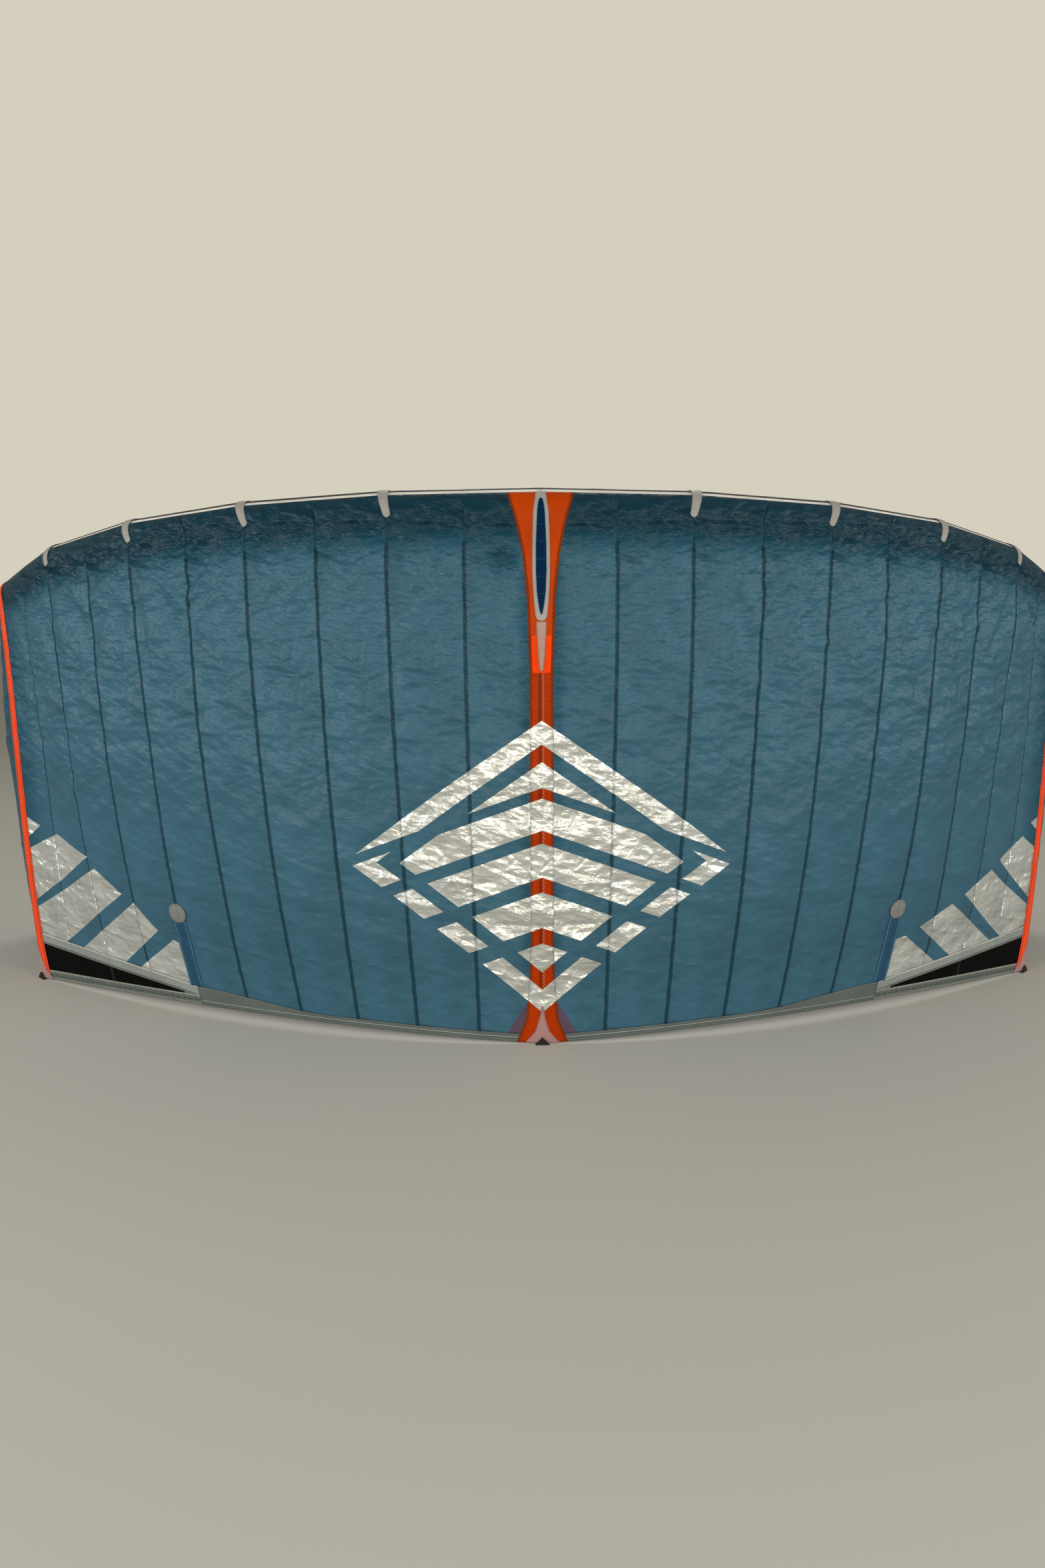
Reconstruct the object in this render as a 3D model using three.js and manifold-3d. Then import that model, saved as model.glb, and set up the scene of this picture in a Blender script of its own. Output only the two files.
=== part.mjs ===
// Inflated kitesurfing kite standing on its trailing edge, millimetres, +Z up.
// X runs along the span and the convex top skin faces -Y.
// A place on the canopy is (u, q). u counts seams out from the middle, negative to the left:
// 0 is the middle, 10 the side strut, 14 the tip. q is 0 at the trailing edge and 1 where the
// skin meets the tube, and each whole step past 1 is one facet further over the tube.
import * as THREE from "three";
import { mergeVertices } from "three/addons/utils/BufferGeometryUtils.js";
import Module from "manifold-3d";

const degree = Math.PI / 180;

// Plan of the leading edge and of the trailing edge
const strutSeam = 10;
const tubeTopHeight = 1664;
const tubeSetBack = 312;
const tubeDrop = { square: 198, fourth: 66 };
const edgeGore = { width: 240, narrowing: 0.392 };
const hemGore = { width: 191, narrowing: 0.05 };
const edgeHeading = { start: -0.015, linear: 0.822, cubic: -0.031 };
const hemHeading = { start: 0.06, linear: 0.685, cubic: -0.212 };
const seamSlant = 0.5;
const hemClearance = 1.6;
const hemArch = 27;

// Sections past the side strut, where the canopy turns back and runs down to the tip
const tipSections = [
  { edgeStep: 230, edgeTurn: 64, fall: 43, hemStep: 150, hemTurn: 67 },
  { edgeStep: 230, edgeTurn: 74, fall: 53, hemStep: 150, hemTurn: 75 },
  { edgeStep: 230, edgeTurn: 83, fall: 61, hemStep: 150, hemTurn: 83 },
  { edgeStep: 215, edgeTurn: 89, fall: 65, hemStep: 140, hemTurn: 89 },
];
const tipSeam = strutSeam + tipSections.length;

// Leading edge tube
const tubeRadius = { middle: 95, strut: 75, tip: 48 };
const tubeSides = 24;
const facetAngle = 360 / tubeSides;
const tubeEnd = { reach: 34, taper: 0.55 };

// Canopy skin and what is sewn on it
const clothThickness = 1.5;
const trimThickness = 1.2;
const tubeGap = 0.6;
const seamHalfGap = 0.3;
const trimGap = 0.6;
const skinEdge = 4;
const fullness = { strut: 0.11, between: 0.12 };
const chordRows = 15;
const goreColumns = 3;

// Pillow of each gore between its seams, and broad soft folds
const pillow = 5;
const folds = [
  { depth: 3.4, across: 1.9, up: 5.2, phase: 0.6 },
  { depth: 2.6, across: -2.7, up: 8.6, phase: 2.1 },
  { depth: 1.8, across: 4.3, up: 3.1, phase: 4.0 },
];

// Hem and the bands outboard of the battens, heights up from the trailing edge
const battenSeam = 6;
const hemHeight = { middle: 25, batten: 63, widensFrom: 3.5 };
const lowerBand = 33;
const upperBand = 31;
const darkPanel = 104;
const darkAtTip = 0.2;

// Middle strip: half widths at places up the chord, from hem to leading edge
const stripOutline = [
  { q: 0, half: 78 },
  { q: 0.045, half: 50 },
  { q: 0.1, half: 40 },
  { q: 0.17, half: 35 },
  { q: 0.7, half: 36 },
  { q: 0.84, half: 43 },
  { q: 0.92, half: 56 },
  { q: 0.97, half: 72 },
  { q: 1, half: 84 },
  { q: 2, half: 92 },
  { q: 3, half: 98 },
  { q: skinEdge, half: 102 },
];
const teardropOutline = [
  { q: 0.775, half: 8 },
  { q: 0.79, half: 15 },
  { q: 0.82, half: 21 },
  { q: 0.86, half: 25 },
  { q: 0.91, half: 26.5 },
  { q: 0.96, half: 25.5 },
  { q: 1, half: 23 },
  { q: 2, half: 20 },
  { q: 3, half: 17 },
  { q: skinEdge, half: 15 },
];
const lensOutline = [
  { q: 0.782, half: 2 },
  { q: 0.8, half: 7 },
  { q: 0.84, half: 11.5 },
  { q: 0.89, half: 13.2 },
  { q: 0.94, half: 12 },
  { q: 1, half: 8.5 },
  { q: 2, half: 6 },
  { q: 2.6, half: 2 },
];
const tailOutline = [
  { q: 0.683, half: 2 },
  { q: 0.688, half: 4 },
  { q: 0.72, half: 9 },
  { q: 0.77, half: 15 },
];
const sideStripOutline = [
  { q: 0.003, half: 40 },
  { q: 0.03, half: 34 },
  { q: 0.1, half: 29 },
  { q: 0.5, half: 26 },
  { q: 0.9, half: 27 },
  { q: 1, half: 28 },
  { q: 2, half: 29 },
  { q: 3, half: 30 },
  { q: skinEdge, half: 30 },
];
const tongueSeams = [2, 4, 6, 8];
const tongueOutline = [
  { q: 0.993, half: 5 },
  { q: 0.9955, half: 9 },
  { q: 1, half: 11.5 },
  { q: 2, half: 13 },
  { q: 3, half: 14.5 },
  { q: 4, half: 15.5 },
  { q: 5, half: 16.5 },
  { q: 6, half: 17 },
  { q: 7, half: 17 },
  { q: 8, half: 17 },
];
const seamTape = { place: 6, half: 0.2 };

// Batten pockets with their round patches
const pocket = { half: 25, bottom: 66, top: 285 };
const patch = { radius: 30, height: 312, sides: 16 };

// Struts: radius at places up the chord, and the tough feet under them
const strutOutline = [
  { q: 0.042, radius: 11 },
  { q: 0.046, radius: 19 },
  { q: 0.056, radius: 26 },
  { q: 0.08, radius: 30 },
  { q: 0.2, radius: 34 },
  { q: 0.35, radius: 38 },
  { q: 0.5, radius: 41 },
  { q: 0.65, radius: 44 },
  { q: 0.8, radius: 46 },
  { q: 0.9, radius: 47 },
  { q: 1, radius: 47 },
];
const strutSides = 16;
const strutClearance = 2.2;
const footPatchHeight = 118;
const foot = { width: 42, height: 24, depth: 6, sole: 1.2, back: 16 };

const colours = {
  canopy: 0x3e647d,
  orange: 0xff6414,
  facing: 0xbebcb9,
  lens: 0x053c64,
  tail: 0xb08c86,
  tube: 0xd7d2cd,
  strut: 0xc9c6c2,
  tongue: 0xbebcb9,
  hem: 0x8c9694,
  dark: 0x0c0c0c,
  pocket: 0x0f4b73,
  patch: 0xbe8c8c,
  foot: 0x141414,
};

const kite = new THREE.Group();

function addPiece(name, geometry, colour, roughness = 0.6, parent = kite) {
  const material = new THREE.MeshStandardMaterial({ color: colour, roughness, metalness: 0 });
  const mesh = new THREE.Mesh(geometry, material);
  mesh.name = name;
  parent.add(mesh);
  return mesh;
}

// Seam lines: the tube's axis and the trailing edge at each whole u from 0 to the tip

function polar(heading, length) {
  return new THREE.Vector3(Math.cos(heading) * length, Math.sin(heading) * length, 0);
}

function radiusAt(seam) {
  if (seam <= strutSeam) {
    return THREE.MathUtils.lerp(tubeRadius.middle, tubeRadius.strut, seam / strutSeam);
  }
  const past = (seam - strutSeam) / tipSections.length;
  return THREE.MathUtils.lerp(tubeRadius.strut, tubeRadius.tip, past);
}

function seamLines() {
  const tops = [new THREE.Vector3(0, tubeSetBack, tubeTopHeight)];
  const hems = [new THREE.Vector3(0, 0, hemClearance)];
  for (let seam = 1; seam <= strutSeam; seam += 1) {
    const middle = (seam - 0.5) / strutSeam;
    const part = seam / strutSeam;
    const height = tubeTopHeight - tubeDrop.square * part ** 2 - tubeDrop.fourth * part ** 4;
    const last = tops[seam - 1];
    const width = edgeGore.width * (1 - edgeGore.narrowing * middle ** 2);
    const level = Math.sqrt(width ** 2 - (height - last.z) ** 2);
    const edgeTurn = edgeHeading.start + edgeHeading.linear * middle + edgeHeading.cubic * middle ** 3;
    const top = last.clone().add(polar(edgeTurn, level));
    top.z = height;
    tops.push(top);
    const hemTurn = hemHeading.start + hemHeading.linear * middle + hemHeading.cubic * middle ** 3;
    const hemWidth = hemGore.width * (1 - hemGore.narrowing * middle ** 2);
    const hem = hems[seam - 1].clone().add(polar(hemTurn, hemWidth));
    hem.z = hemClearance + hemArch * Math.sin(Math.PI * part);
    hems.push(hem);
  }
  for (const section of tipSections) {
    const level = section.edgeStep * Math.cos(section.fall * degree);
    const top = tops.at(-1).clone().add(polar(section.edgeTurn * degree, level));
    top.z -= section.edgeStep * Math.sin(section.fall * degree);
    tops.push(top);
    const hem = hems.at(-1).clone().add(polar(section.hemTurn * degree, section.hemStep));
    hem.z = hemClearance;
    hems.push(hem);
  }
  for (let seam = 1; seam < strutSeam; seam += 2) {
    tops[seam].copy(tops[seam - 1]).lerp(tops[seam + 1], 0.5);
  }
  const axis = tops.map((top, seam) => top.clone().setZ(top.z - radiusAt(seam)));
  return { axis, hems };
}

const { axis: tubeAxis, hems: hemLine } = seamLines();

// The frame of each seam's section: up across the tube, and out through the top skin
function seamFrame(seam) {
  const before = tubeAxis[Math.max(seam - 1, 0)];
  const after = tubeAxis[Math.min(seam + 1, tipSeam)];
  const along = new THREE.Vector3(1, 0, 0);
  if (seam > 0) {
    const arriving = tubeAxis[seam].clone().sub(before).normalize();
    const leaving = seam < tipSeam ? after.clone().sub(tubeAxis[seam]).normalize() : arriving;
    along.copy(arriving).add(leaving).normalize();
  }
  const chord = tubeAxis[seam].clone().sub(hemLine[seam]);
  const length = chord.length();
  chord.normalize();
  const out = along.clone().cross(chord).normalize();
  const up = out.clone().cross(along);
  return { along, chord, length, out, up };
}

const frames = tubeAxis.map((point, seam) => seamFrame(seam));

// The seams slant across the tube towards the middle as they come down its front
function aroundTube(seam, facet, radius) {
  const angle = (90 - facetAngle * facet) * degree;
  const { along, up, out } = frames[seam];
  const slant = seamSlant * Math.sin(Math.PI * Math.min(seam / strutSeam, 1));
  return tubeAxis[seam].clone()
    .addScaledVector(up, radius * Math.cos(angle))
    .addScaledVector(out, radius * Math.sin(angle))
    .addScaledVector(along, -radiusAt(seam) * slant * (1 - Math.cos(angle)));
}

function sectionPoint(seam, q) {
  const radius = radiusAt(seam) + tubeGap;
  if (q > 1) {
    const facet = Math.floor(q - 1);
    const start = aroundTube(seam, facet, radius);
    return start.lerp(aroundTube(seam, facet + 1, radius), q - 1 - facet);
  }
  const { chord, length, out, up } = frames[seam];
  const part = Math.min(seam / strutSeam, 1);
  const lean = fullness.strut + fullness.between * Math.sin(Math.PI * part) ** 2;
  const touch = aroundTube(seam, 0, radius);
  const leaving = chord.clone().multiplyScalar(Math.cos(lean)).addScaledVector(out, Math.sin(lean));
  const square = q * q;
  const cube = square * q;
  return hemLine[seam].clone().multiplyScalar(2 * cube - 3 * square + 1)
    .addScaledVector(leaving, length * (cube - 2 * square + q))
    .addScaledVector(touch, 3 * square - 2 * cube)
    .addScaledVector(up, length * (cube - square));
}

function plainPoint(u, q) {
  const distance = Math.min(Math.abs(u), tipSeam - 1e-9);
  const seam = Math.floor(distance);
  const point = sectionPoint(seam, q).lerp(sectionPoint(seam + 1, q), distance - seam);
  if (u < 0) {
    point.x = -point.x;
  }
  return point;
}

function normalOf(point, u, q) {
  const across = 0.02;
  const upward = q >= 1 ? 0.02 : 0.004;
  const spanwise = point(Math.min(u + across, tipSeam), q).sub(point(Math.max(u - across, -tipSeam), q));
  const chordwise = point(u, Math.min(q + upward, 8)).sub(point(u, Math.max(q - upward, 0)));
  return spanwise.cross(chordwise).normalize();
}

// Height of the soft folds over the plain surface: none at the hem, at the tube and on the struts
function foldHeight(u, q) {
  if (q >= 1 || q <= 0) {
    return 0;
  }
  const ends = THREE.MathUtils.smoothstep(q, 0.08, 0.3) * (1 - THREE.MathUtils.smoothstep(q, 0.8, 0.98));
  const distance = Math.abs(u);
  const offStrut = Math.min(distance, Math.abs(strutSeam - distance));
  const struts = THREE.MathUtils.smoothstep(offStrut, 0.45, 1.4);
  const share = distance - Math.floor(distance);
  let height = pillow * Math.sin(Math.PI * share);
  for (const fold of folds) {
    height += fold.depth * Math.sin(fold.across * u + fold.up * q + fold.phase);
  }
  return height * ends * struts;
}

// Folded surface on the gores' own grid, so that every piece sewn on a gore follows its faces

function gridStep(value, count) {
  const cell = Math.floor(value * count + 1e-9);
  return { low: cell / count, high: (cell + 1) / count, share: value * count - cell };
}

function foldAt(u, q) {
  if (q >= 1) {
    return 0;
  }
  const span = gridStep(u, goreColumns);
  const chord = gridStep(q, chordRows);
  const bottom = THREE.MathUtils.lerp(foldHeight(span.low, chord.low), foldHeight(span.high, chord.low), span.share);
  const top = THREE.MathUtils.lerp(foldHeight(span.low, chord.high), foldHeight(span.high, chord.high), span.share);
  return THREE.MathUtils.lerp(bottom, top, chord.share);
}

function surfacePoint(u, q) {
  const point = plainPoint(u, q);
  const height = foldAt(u, q);
  if (height !== 0) {
    point.addScaledVector(normalOf(plainPoint, u, q), height);
  }
  return point;
}

// Closed meshes from rings of points, turned so that their faces point out

function solidFrom(points, triangles) {
  let volume = 0;
  for (const [a, b, c] of triangles) {
    volume += points[a].dot(points[b].clone().cross(points[c]));
  }
  const corners = volume < 0 ? triangles.map(([a, b, c]) => [a, c, b]) : triangles;
  const geometry = new THREE.BufferGeometry();
  geometry.setAttribute("position", new THREE.Float32BufferAttribute(points.flatMap((p) => p.toArray()), 3));
  geometry.setIndex(corners.flat());
  return geometry;
}

function loft(rings, mirroredRings = 0) {
  const sides = rings[0].length;
  const points = rings.flat();
  const triangles = [];
  for (let ring = 0; ring + 1 < rings.length; ring += 1) {
    for (let side = 0; side < sides; side += 1) {
      const next = (side + 1) % sides;
      const a = ring * sides + side;
      const b = ring * sides + next;
      if (ring < mirroredRings) {
        triangles.push([a, b, a + sides], [b, b + sides, a + sides]);
      } else {
        triangles.push([a, b, b + sides], [a, b + sides, a + sides]);
      }
    }
  }
  for (const [ring, turn] of [[0, 1], [rings.length - 1, -1]]) {
    const centre = new THREE.Vector3();
    rings[ring].forEach((point) => centre.addScaledVector(point, 1 / sides));
    const hub = points.push(centre) - 1;
    for (let side = 0; side < sides; side += 1) {
      const a = ring * sides + side;
      const b = ring * sides + (side + 1) % sides;
      triangles.push(turn > 0 ? [hub, b, a] : [hub, a, b]);
    }
  }
  return solidFrom(points, triangles);
}

// A sheet of cloth over places (u, q) in rows, lifted off the surface and given its thickness
function sheet(places, lift, thickness) {
  const rows = places.length;
  const columns = places[0].length;
  const points = [];
  for (const depth of [lift, lift + thickness]) {
    for (const place of places.flat()) {
      const normal = normalOf(surfacePoint, place.u, place.q);
      points.push(surfacePoint(place.u, place.q).addScaledVector(normal, depth));
    }
  }
  const layer = rows * columns;
  const triangles = [];
  for (let row = 0; row + 1 < rows; row += 1) {
    for (let column = 0; column + 1 < columns; column += 1) {
      const a = row * columns + column;
      const b = a + 1;
      const c = b + columns;
      const d = a + columns;
      const folded = places[row][column].u + places[row][column + 1].u < 0
        ? [[a, d, b], [b, d, c]]
        : [[a, c, b], [a, d, c]];
      for (const [first, second, third] of folded) {
        triangles.push([first, second, third], [first + layer, third + layer, second + layer]);
      }
    }
  }
  const edge = [];
  for (let column = 0; column < columns; column += 1) edge.push(column);
  for (let row = 1; row < rows; row += 1) edge.push(row * columns + columns - 1);
  for (let column = columns - 2; column >= 0; column -= 1) edge.push((rows - 1) * columns + column);
  for (let row = rows - 2; row > 0; row -= 1) edge.push(row * columns);
  edge.forEach((a, index) => {
    const b = edge[(index + 1) % edge.length];
    triangles.push([a, b, b + layer], [a, b + layer, a + layer]);
  });
  return solidFrom(points, triangles);
}

// Sizes measured on the surface, turned into u and q

function unitWidth(u, q) {
  const reach = 0.25;
  return plainPoint(u + reach, q).distanceTo(plainPoint(u - reach, q)) / (2 * reach);
}

function qAtHeight(u, height) {
  const distance = Math.min(Math.abs(u), tipSeam - 1e-9);
  const seam = Math.floor(distance);
  const length = THREE.MathUtils.lerp(frames[seam].length, frames[seam + 1].length, distance - seam);
  return height / length;
}

function halfAt(outline, q) {
  const next = outline.findIndex((row) => row.q >= q);
  if (next <= 0) {
    return outline[next === 0 ? 0 : outline.length - 1].half;
  }
  const low = outline[next - 1];
  const high = outline[next];
  return THREE.MathUtils.lerp(low.half, high.half, (q - low.q) / (high.q - low.q));
}

function chordPlaces(from, to) {
  const places = [from];
  for (let row = 1; row <= chordRows; row += 1) {
    const q = row / chordRows;
    if (q > from + 0.3 / chordRows && q <= Math.min(to, 1)) places.push(q);
  }
  for (let facet = 2; facet <= to; facet += 1) places.push(facet);
  return places;
}

// Heights of the hem, the dark panel and the band over it

function darkHeight(u) {
  const past = (Math.abs(u) - battenSeam) / (strutSeam - battenSeam);
  if (past <= 1) {
    return darkPanel * Math.max(past, 0) ** 1.1;
  }
  const pastStrut = (Math.abs(u) - strutSeam) / tipSections.length;
  return darkPanel * THREE.MathUtils.lerp(1, darkAtTip, pastStrut);
}

function hemTop(u) {
  const widening = THREE.MathUtils.smoothstep(Math.abs(u), hemHeight.widensFrom, battenSeam);
  return THREE.MathUtils.lerp(hemHeight.middle, hemHeight.batten, widening);
}

function goreBottom(u) {
  if (Math.abs(u) <= battenSeam) {
    return hemTop(u);
  }
  return lowerBand + darkHeight(u) + upperBand;
}

// Columns from one seam to the next, drawn in by half the gap at each end
function seamColumns(low, high, perGore = goreColumns) {
  const count = (high - low) * perGore;
  const columns = [];
  for (let column = 0; column <= count; column += 1) {
    columns.push(low + column / perGore);
  }
  return columns;
}

function drawIn(u, low, high, q) {
  if (u === low || u === high) {
    const shift = seamHalfGap / unitWidth(u, q);
    return u === low ? u + shift : u - shift;
  }
  return u;
}

function addBand(name, low, high, bottom, top, colour) {
  const columns = seamColumns(low, high);
  const places = [0, 0.5, 1].map((part) => columns.map((u) => {
    const height = THREE.MathUtils.lerp(bottom(u), top(u), part);
    const q = qAtHeight(u, height + seamHalfGap * (1 - 2 * part));
    return { u: drawIn(u, low, high, q), q };
  }));
  addPiece(name, sheet(places, 0, clothThickness), colour);
}

// Blue gores, each from the hem or band up over the tube

function addGore(name, low, high) {
  const columns = seamColumns(low, high);
  const inner = Math.min(Math.abs(low), Math.abs(high)) === 0;
  const lowest = Math.max(...columns.map((u) => qAtHeight(u, goreBottom(u) + seamHalfGap)));
  const rows = chordPlaces(lowest, skinEdge);
  const places = rows.map((rowQ, row) => columns.map((column) => {
    const q = row === 0 ? qAtHeight(column, goreBottom(column) + seamHalfGap) : rowQ;
    let u = drawIn(column, low, high, q);
    if (inner) {
      const stripEdge = (halfAt(stripOutline, q) + 2 * seamHalfGap) / unitWidth(0, q);
      const share = Math.abs(column);
      const far = 1 - seamHalfGap / unitWidth(1, q);
      u = Math.sign(low + high) * THREE.MathUtils.lerp(stripEdge, far, share);
    }
    return { u, q };
  }));
  addPiece(name, sheet(places, 0, clothThickness), colours.canopy);
}

for (let gore = 1; gore <= strutSeam; gore += 1) {
  addGore(`gore_right_${gore}`, gore - 1, gore);
  addGore(`gore_left_${gore}`, -gore, 1 - gore);
}
addGore("tip_right", strutSeam, tipSeam);
addGore("tip_left", -tipSeam, -strutSeam);

// Bands, dark panels and hems on both sides, and the middle strip between the hems

const noHeight = () => 0;
const lowerTop = () => lowerBand;
const darkTop = (u) => lowerBand + darkHeight(u);

for (const [side, sign] of [["right", 1], ["left", -1]]) {
  const reach = (near, far) => (sign > 0 ? [near, far] : [-far, -near]);
  addBand(`upper_band_${side}`, ...reach(battenSeam, tipSeam), darkTop, goreBottom, colours.hem);
  addBand(`dark_panel_${side}`, ...reach(battenSeam + 1 / goreColumns, tipSeam), lowerTop, darkTop, colours.dark);
  addBand(`lower_band_${side}`, ...reach(battenSeam, tipSeam), noHeight, lowerTop, colours.hem);
}

function stripHalfSpan(q) {
  return halfAt(stripOutline, q) / unitWidth(0, q);
}

function addHem(name, sign) {
  const rows = [0, 0.5, 1];
  const columns = seamColumns(0, battenSeam);
  const places = rows.map((part) => columns.map((column) => {
    const q = qAtHeight(column, hemTop(column) * part + seamHalfGap * (1 - 2 * part));
    const stripEdge = stripHalfSpan(q) + 2 * seamHalfGap / unitWidth(0, q);
    const far = battenSeam - seamHalfGap / unitWidth(battenSeam, q);
    let u = column;
    if (column === battenSeam) {
      u = far;
    } else if (column < 1) {
      u = THREE.MathUtils.lerp(stripEdge, 1, column);
    }
    return { u: sign * u, q };
  }));
  if (sign < 0) {
    places.forEach((row) => row.reverse());
  }
  addPiece(name, sheet(places, 0, clothThickness), colours.hem);
}

addHem("hem_right", 1);
addHem("hem_left", -1);

const stripRows = [0, 0.025, 0.045, 0.07, 0.1, 0.17].concat(
  chordPlaces(0.17, skinEdge).slice(1));
const stripPlaces = stripRows.map((q) => [-1, -0.5, 0, 0.5, 1].map((part) => (
  { u: part * stripHalfSpan(q), q })));
addPiece("centre_strip", sheet(stripPlaces, 0, clothThickness), colours.orange);

// Trims sewn over the skin, each given by half widths about its own seam

function addTrim(name, seam, outline, lift, colour, rowPlaces) {
  const rows = rowPlaces ?? outline.map((row) => row.q);
  const places = rows.map((q) => [-1, 0, 1].map((part) => (
    { u: seam + part * halfAt(outline, q) / unitWidth(seam, q), q })));
  addPiece(name, sheet(places, lift, trimThickness), colour);
}

function rowsFor(outline) {
  const ends = [outline[0].q, outline.at(-1).q];
  const own = outline.map((row) => row.q);
  const grid = chordPlaces(ends[0], ends[1]);
  const all = [...new Set(own.concat(grid))].sort((a, b) => a - b);
  return all.filter((q, index) => index === 0 || q - all[index - 1] > 0.0015);
}

const firstTrim = clothThickness + trimGap;
const secondTrim = firstTrim + trimThickness + trimGap;

addTrim("teardrop", 0, teardropOutline, firstTrim, colours.facing, rowsFor(teardropOutline));
addTrim("teardrop_lens", 0, lensOutline, secondTrim, colours.lens, rowsFor(lensOutline));
addTrim("teardrop_tail", 0, tailOutline, firstTrim, colours.tail, rowsFor(tailOutline));
for (const [side, sign] of [["right", 1], ["left", -1]]) {
  addTrim(`side_strip_${side}`, sign * strutSeam, sideStripOutline, firstTrim, colours.orange,
    rowsFor(sideStripOutline));
  for (const seam of tongueSeams) {
    addTrim(`tongue_${side}_${seam}`, sign * seam, tongueOutline, firstTrim, colours.tongue);
  }
}

// Batten pockets, and the round patch that closes the top of each

function addPocket(name, seam) {
  const bottom = qAtHeight(seam, pocket.bottom);
  const top = qAtHeight(seam, pocket.top);
  const outline = [{ q: bottom, half: pocket.half }, { q: top, half: pocket.half }];
  addTrim(name, seam, outline, firstTrim, colours.pocket, rowsFor(outline));
}

function addRoundPatch(name, seam) {
  const centreQ = qAtHeight(seam, patch.height);
  const width = unitWidth(seam, centreQ);
  const upward = 1 / qAtHeight(seam, 1);
  const rows = [];
  for (let row = 0; row <= patch.sides / 2; row += 1) {
    const angle = (row / (patch.sides / 2) - 0.5) * 0.97 * Math.PI;
    const half = patch.radius * Math.cos(angle);
    const q = centreQ + patch.radius * Math.sin(angle) / upward;
    rows.push([-1, 0, 1].map((part) => ({ u: seam + part * half / width, q })));
  }
  addPiece(name, sheet(rows, secondTrim, trimThickness), colours.facing);
}

for (const [side, sign] of [["right", 1], ["left", -1]]) {
  addPocket(`batten_pocket_${side}`, sign * battenSeam);
  addRoundPatch(`batten_patch_${side}`, sign * battenSeam);
}

// Leading edge tube, its closing tape along the top, and the three struts behind the canopy

function tubeRings(extra) {
  const ringAt = (seam, sign) => {
    const ring = [];
    for (let facet = 0; facet < tubeSides; facet += 1) {
      const point = aroundTube(seam, facet, radiusAt(seam) + extra);
      point.x *= sign;
      ring.push(point);
    }
    return ring;
  };
  const endRing = (sign) => {
    const centre = tubeAxis[tipSeam].clone();
    const tip = frames[tipSeam].along.clone().multiplyScalar(tubeEnd.reach);
    centre.x *= sign;
    tip.x *= sign;
    return ringAt(tipSeam, sign).map((point) => point.sub(centre).multiplyScalar(tubeEnd.taper)
      .add(centre).add(tip));
  };
  const rings = [endRing(-1)];
  for (let seam = tipSeam; seam > 0; seam -= 1) rings.push(ringAt(seam, -1));
  for (let seam = 0; seam <= tipSeam; seam += 1) rings.push(ringAt(seam, 1));
  rings.push(endRing(1));
  return rings;
}

function tubeLoft(extra) {
  const rings = tubeRings(extra);
  return loft(rings, rings.length / 2 - 1);
}

addPiece("leading_edge", tubeLoft(0), colours.tube);

const tapeRows = [seamTape.place - seamTape.half, seamTape.place, seamTape.place + seamTape.half];
const tapePlaces = tapeRows.map((q) => seamColumns(-tipSeam, tipSeam, 1).map((u) => ({ u, q })));
addPiece("seam_tape", sheet(tapePlaces, 0, trimThickness), colours.dark);

const wasm = await Module();
wasm.setup();

function toManifold(geometry) {
  const bare = geometry.clone();
  bare.deleteAttribute("normal");
  bare.deleteAttribute("uv");
  const merged = mergeVertices(bare);
  return new wasm.Manifold(new wasm.Mesh({
    numProp: 3,
    vertProperties: merged.attributes.position.array,
    triVerts: new Uint32Array(merged.index.array),
  }));
}

function fromManifold(solid) {
  const mesh = solid.getMesh();
  const geometry = new THREE.BufferGeometry();
  geometry.setAttribute("position", new THREE.BufferAttribute(mesh.vertProperties, 3));
  geometry.setIndex(new THREE.BufferAttribute(mesh.triVerts, 1));
  return geometry;
}

const tubeRoom = toManifold(tubeLoft(0.4));

function addStrut(name, seam) {
  const rings = strutOutline.map((row) => {
    const upward = plainPoint(seam, Math.min(row.q + 0.01, 1)).sub(plainPoint(seam, row.q - 0.01));
    upward.normalize();
    const normal = normalOf(plainPoint, seam, Math.min(row.q, 0.999));
    const inward = normal.clone().addScaledVector(upward, -normal.dot(upward)).normalize();
    const sideways = upward.clone().cross(inward);
    const centre = plainPoint(seam, row.q)
      .addScaledVector(inward, -row.radius - strutClearance);
    const ring = [];
    for (let side = 0; side < strutSides; side += 1) {
      const angle = 2 * Math.PI * side / strutSides;
      ring.push(centre.clone()
        .addScaledVector(inward, row.radius * Math.cos(angle))
        .addScaledVector(sideways, row.radius * Math.sin(angle)));
    }
    return ring;
  });
  const solid = toManifold(loft(rings)).subtract(tubeRoom);
  addPiece(name, fromManifold(solid), colours.strut);
}

addStrut("strut_centre", 0);
addStrut("strut_right", strutSeam);
addStrut("strut_left", -strutSeam);

// Foot of each strut: a tough patch over the hem, and a dark foot with a flat sole under it

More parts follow.
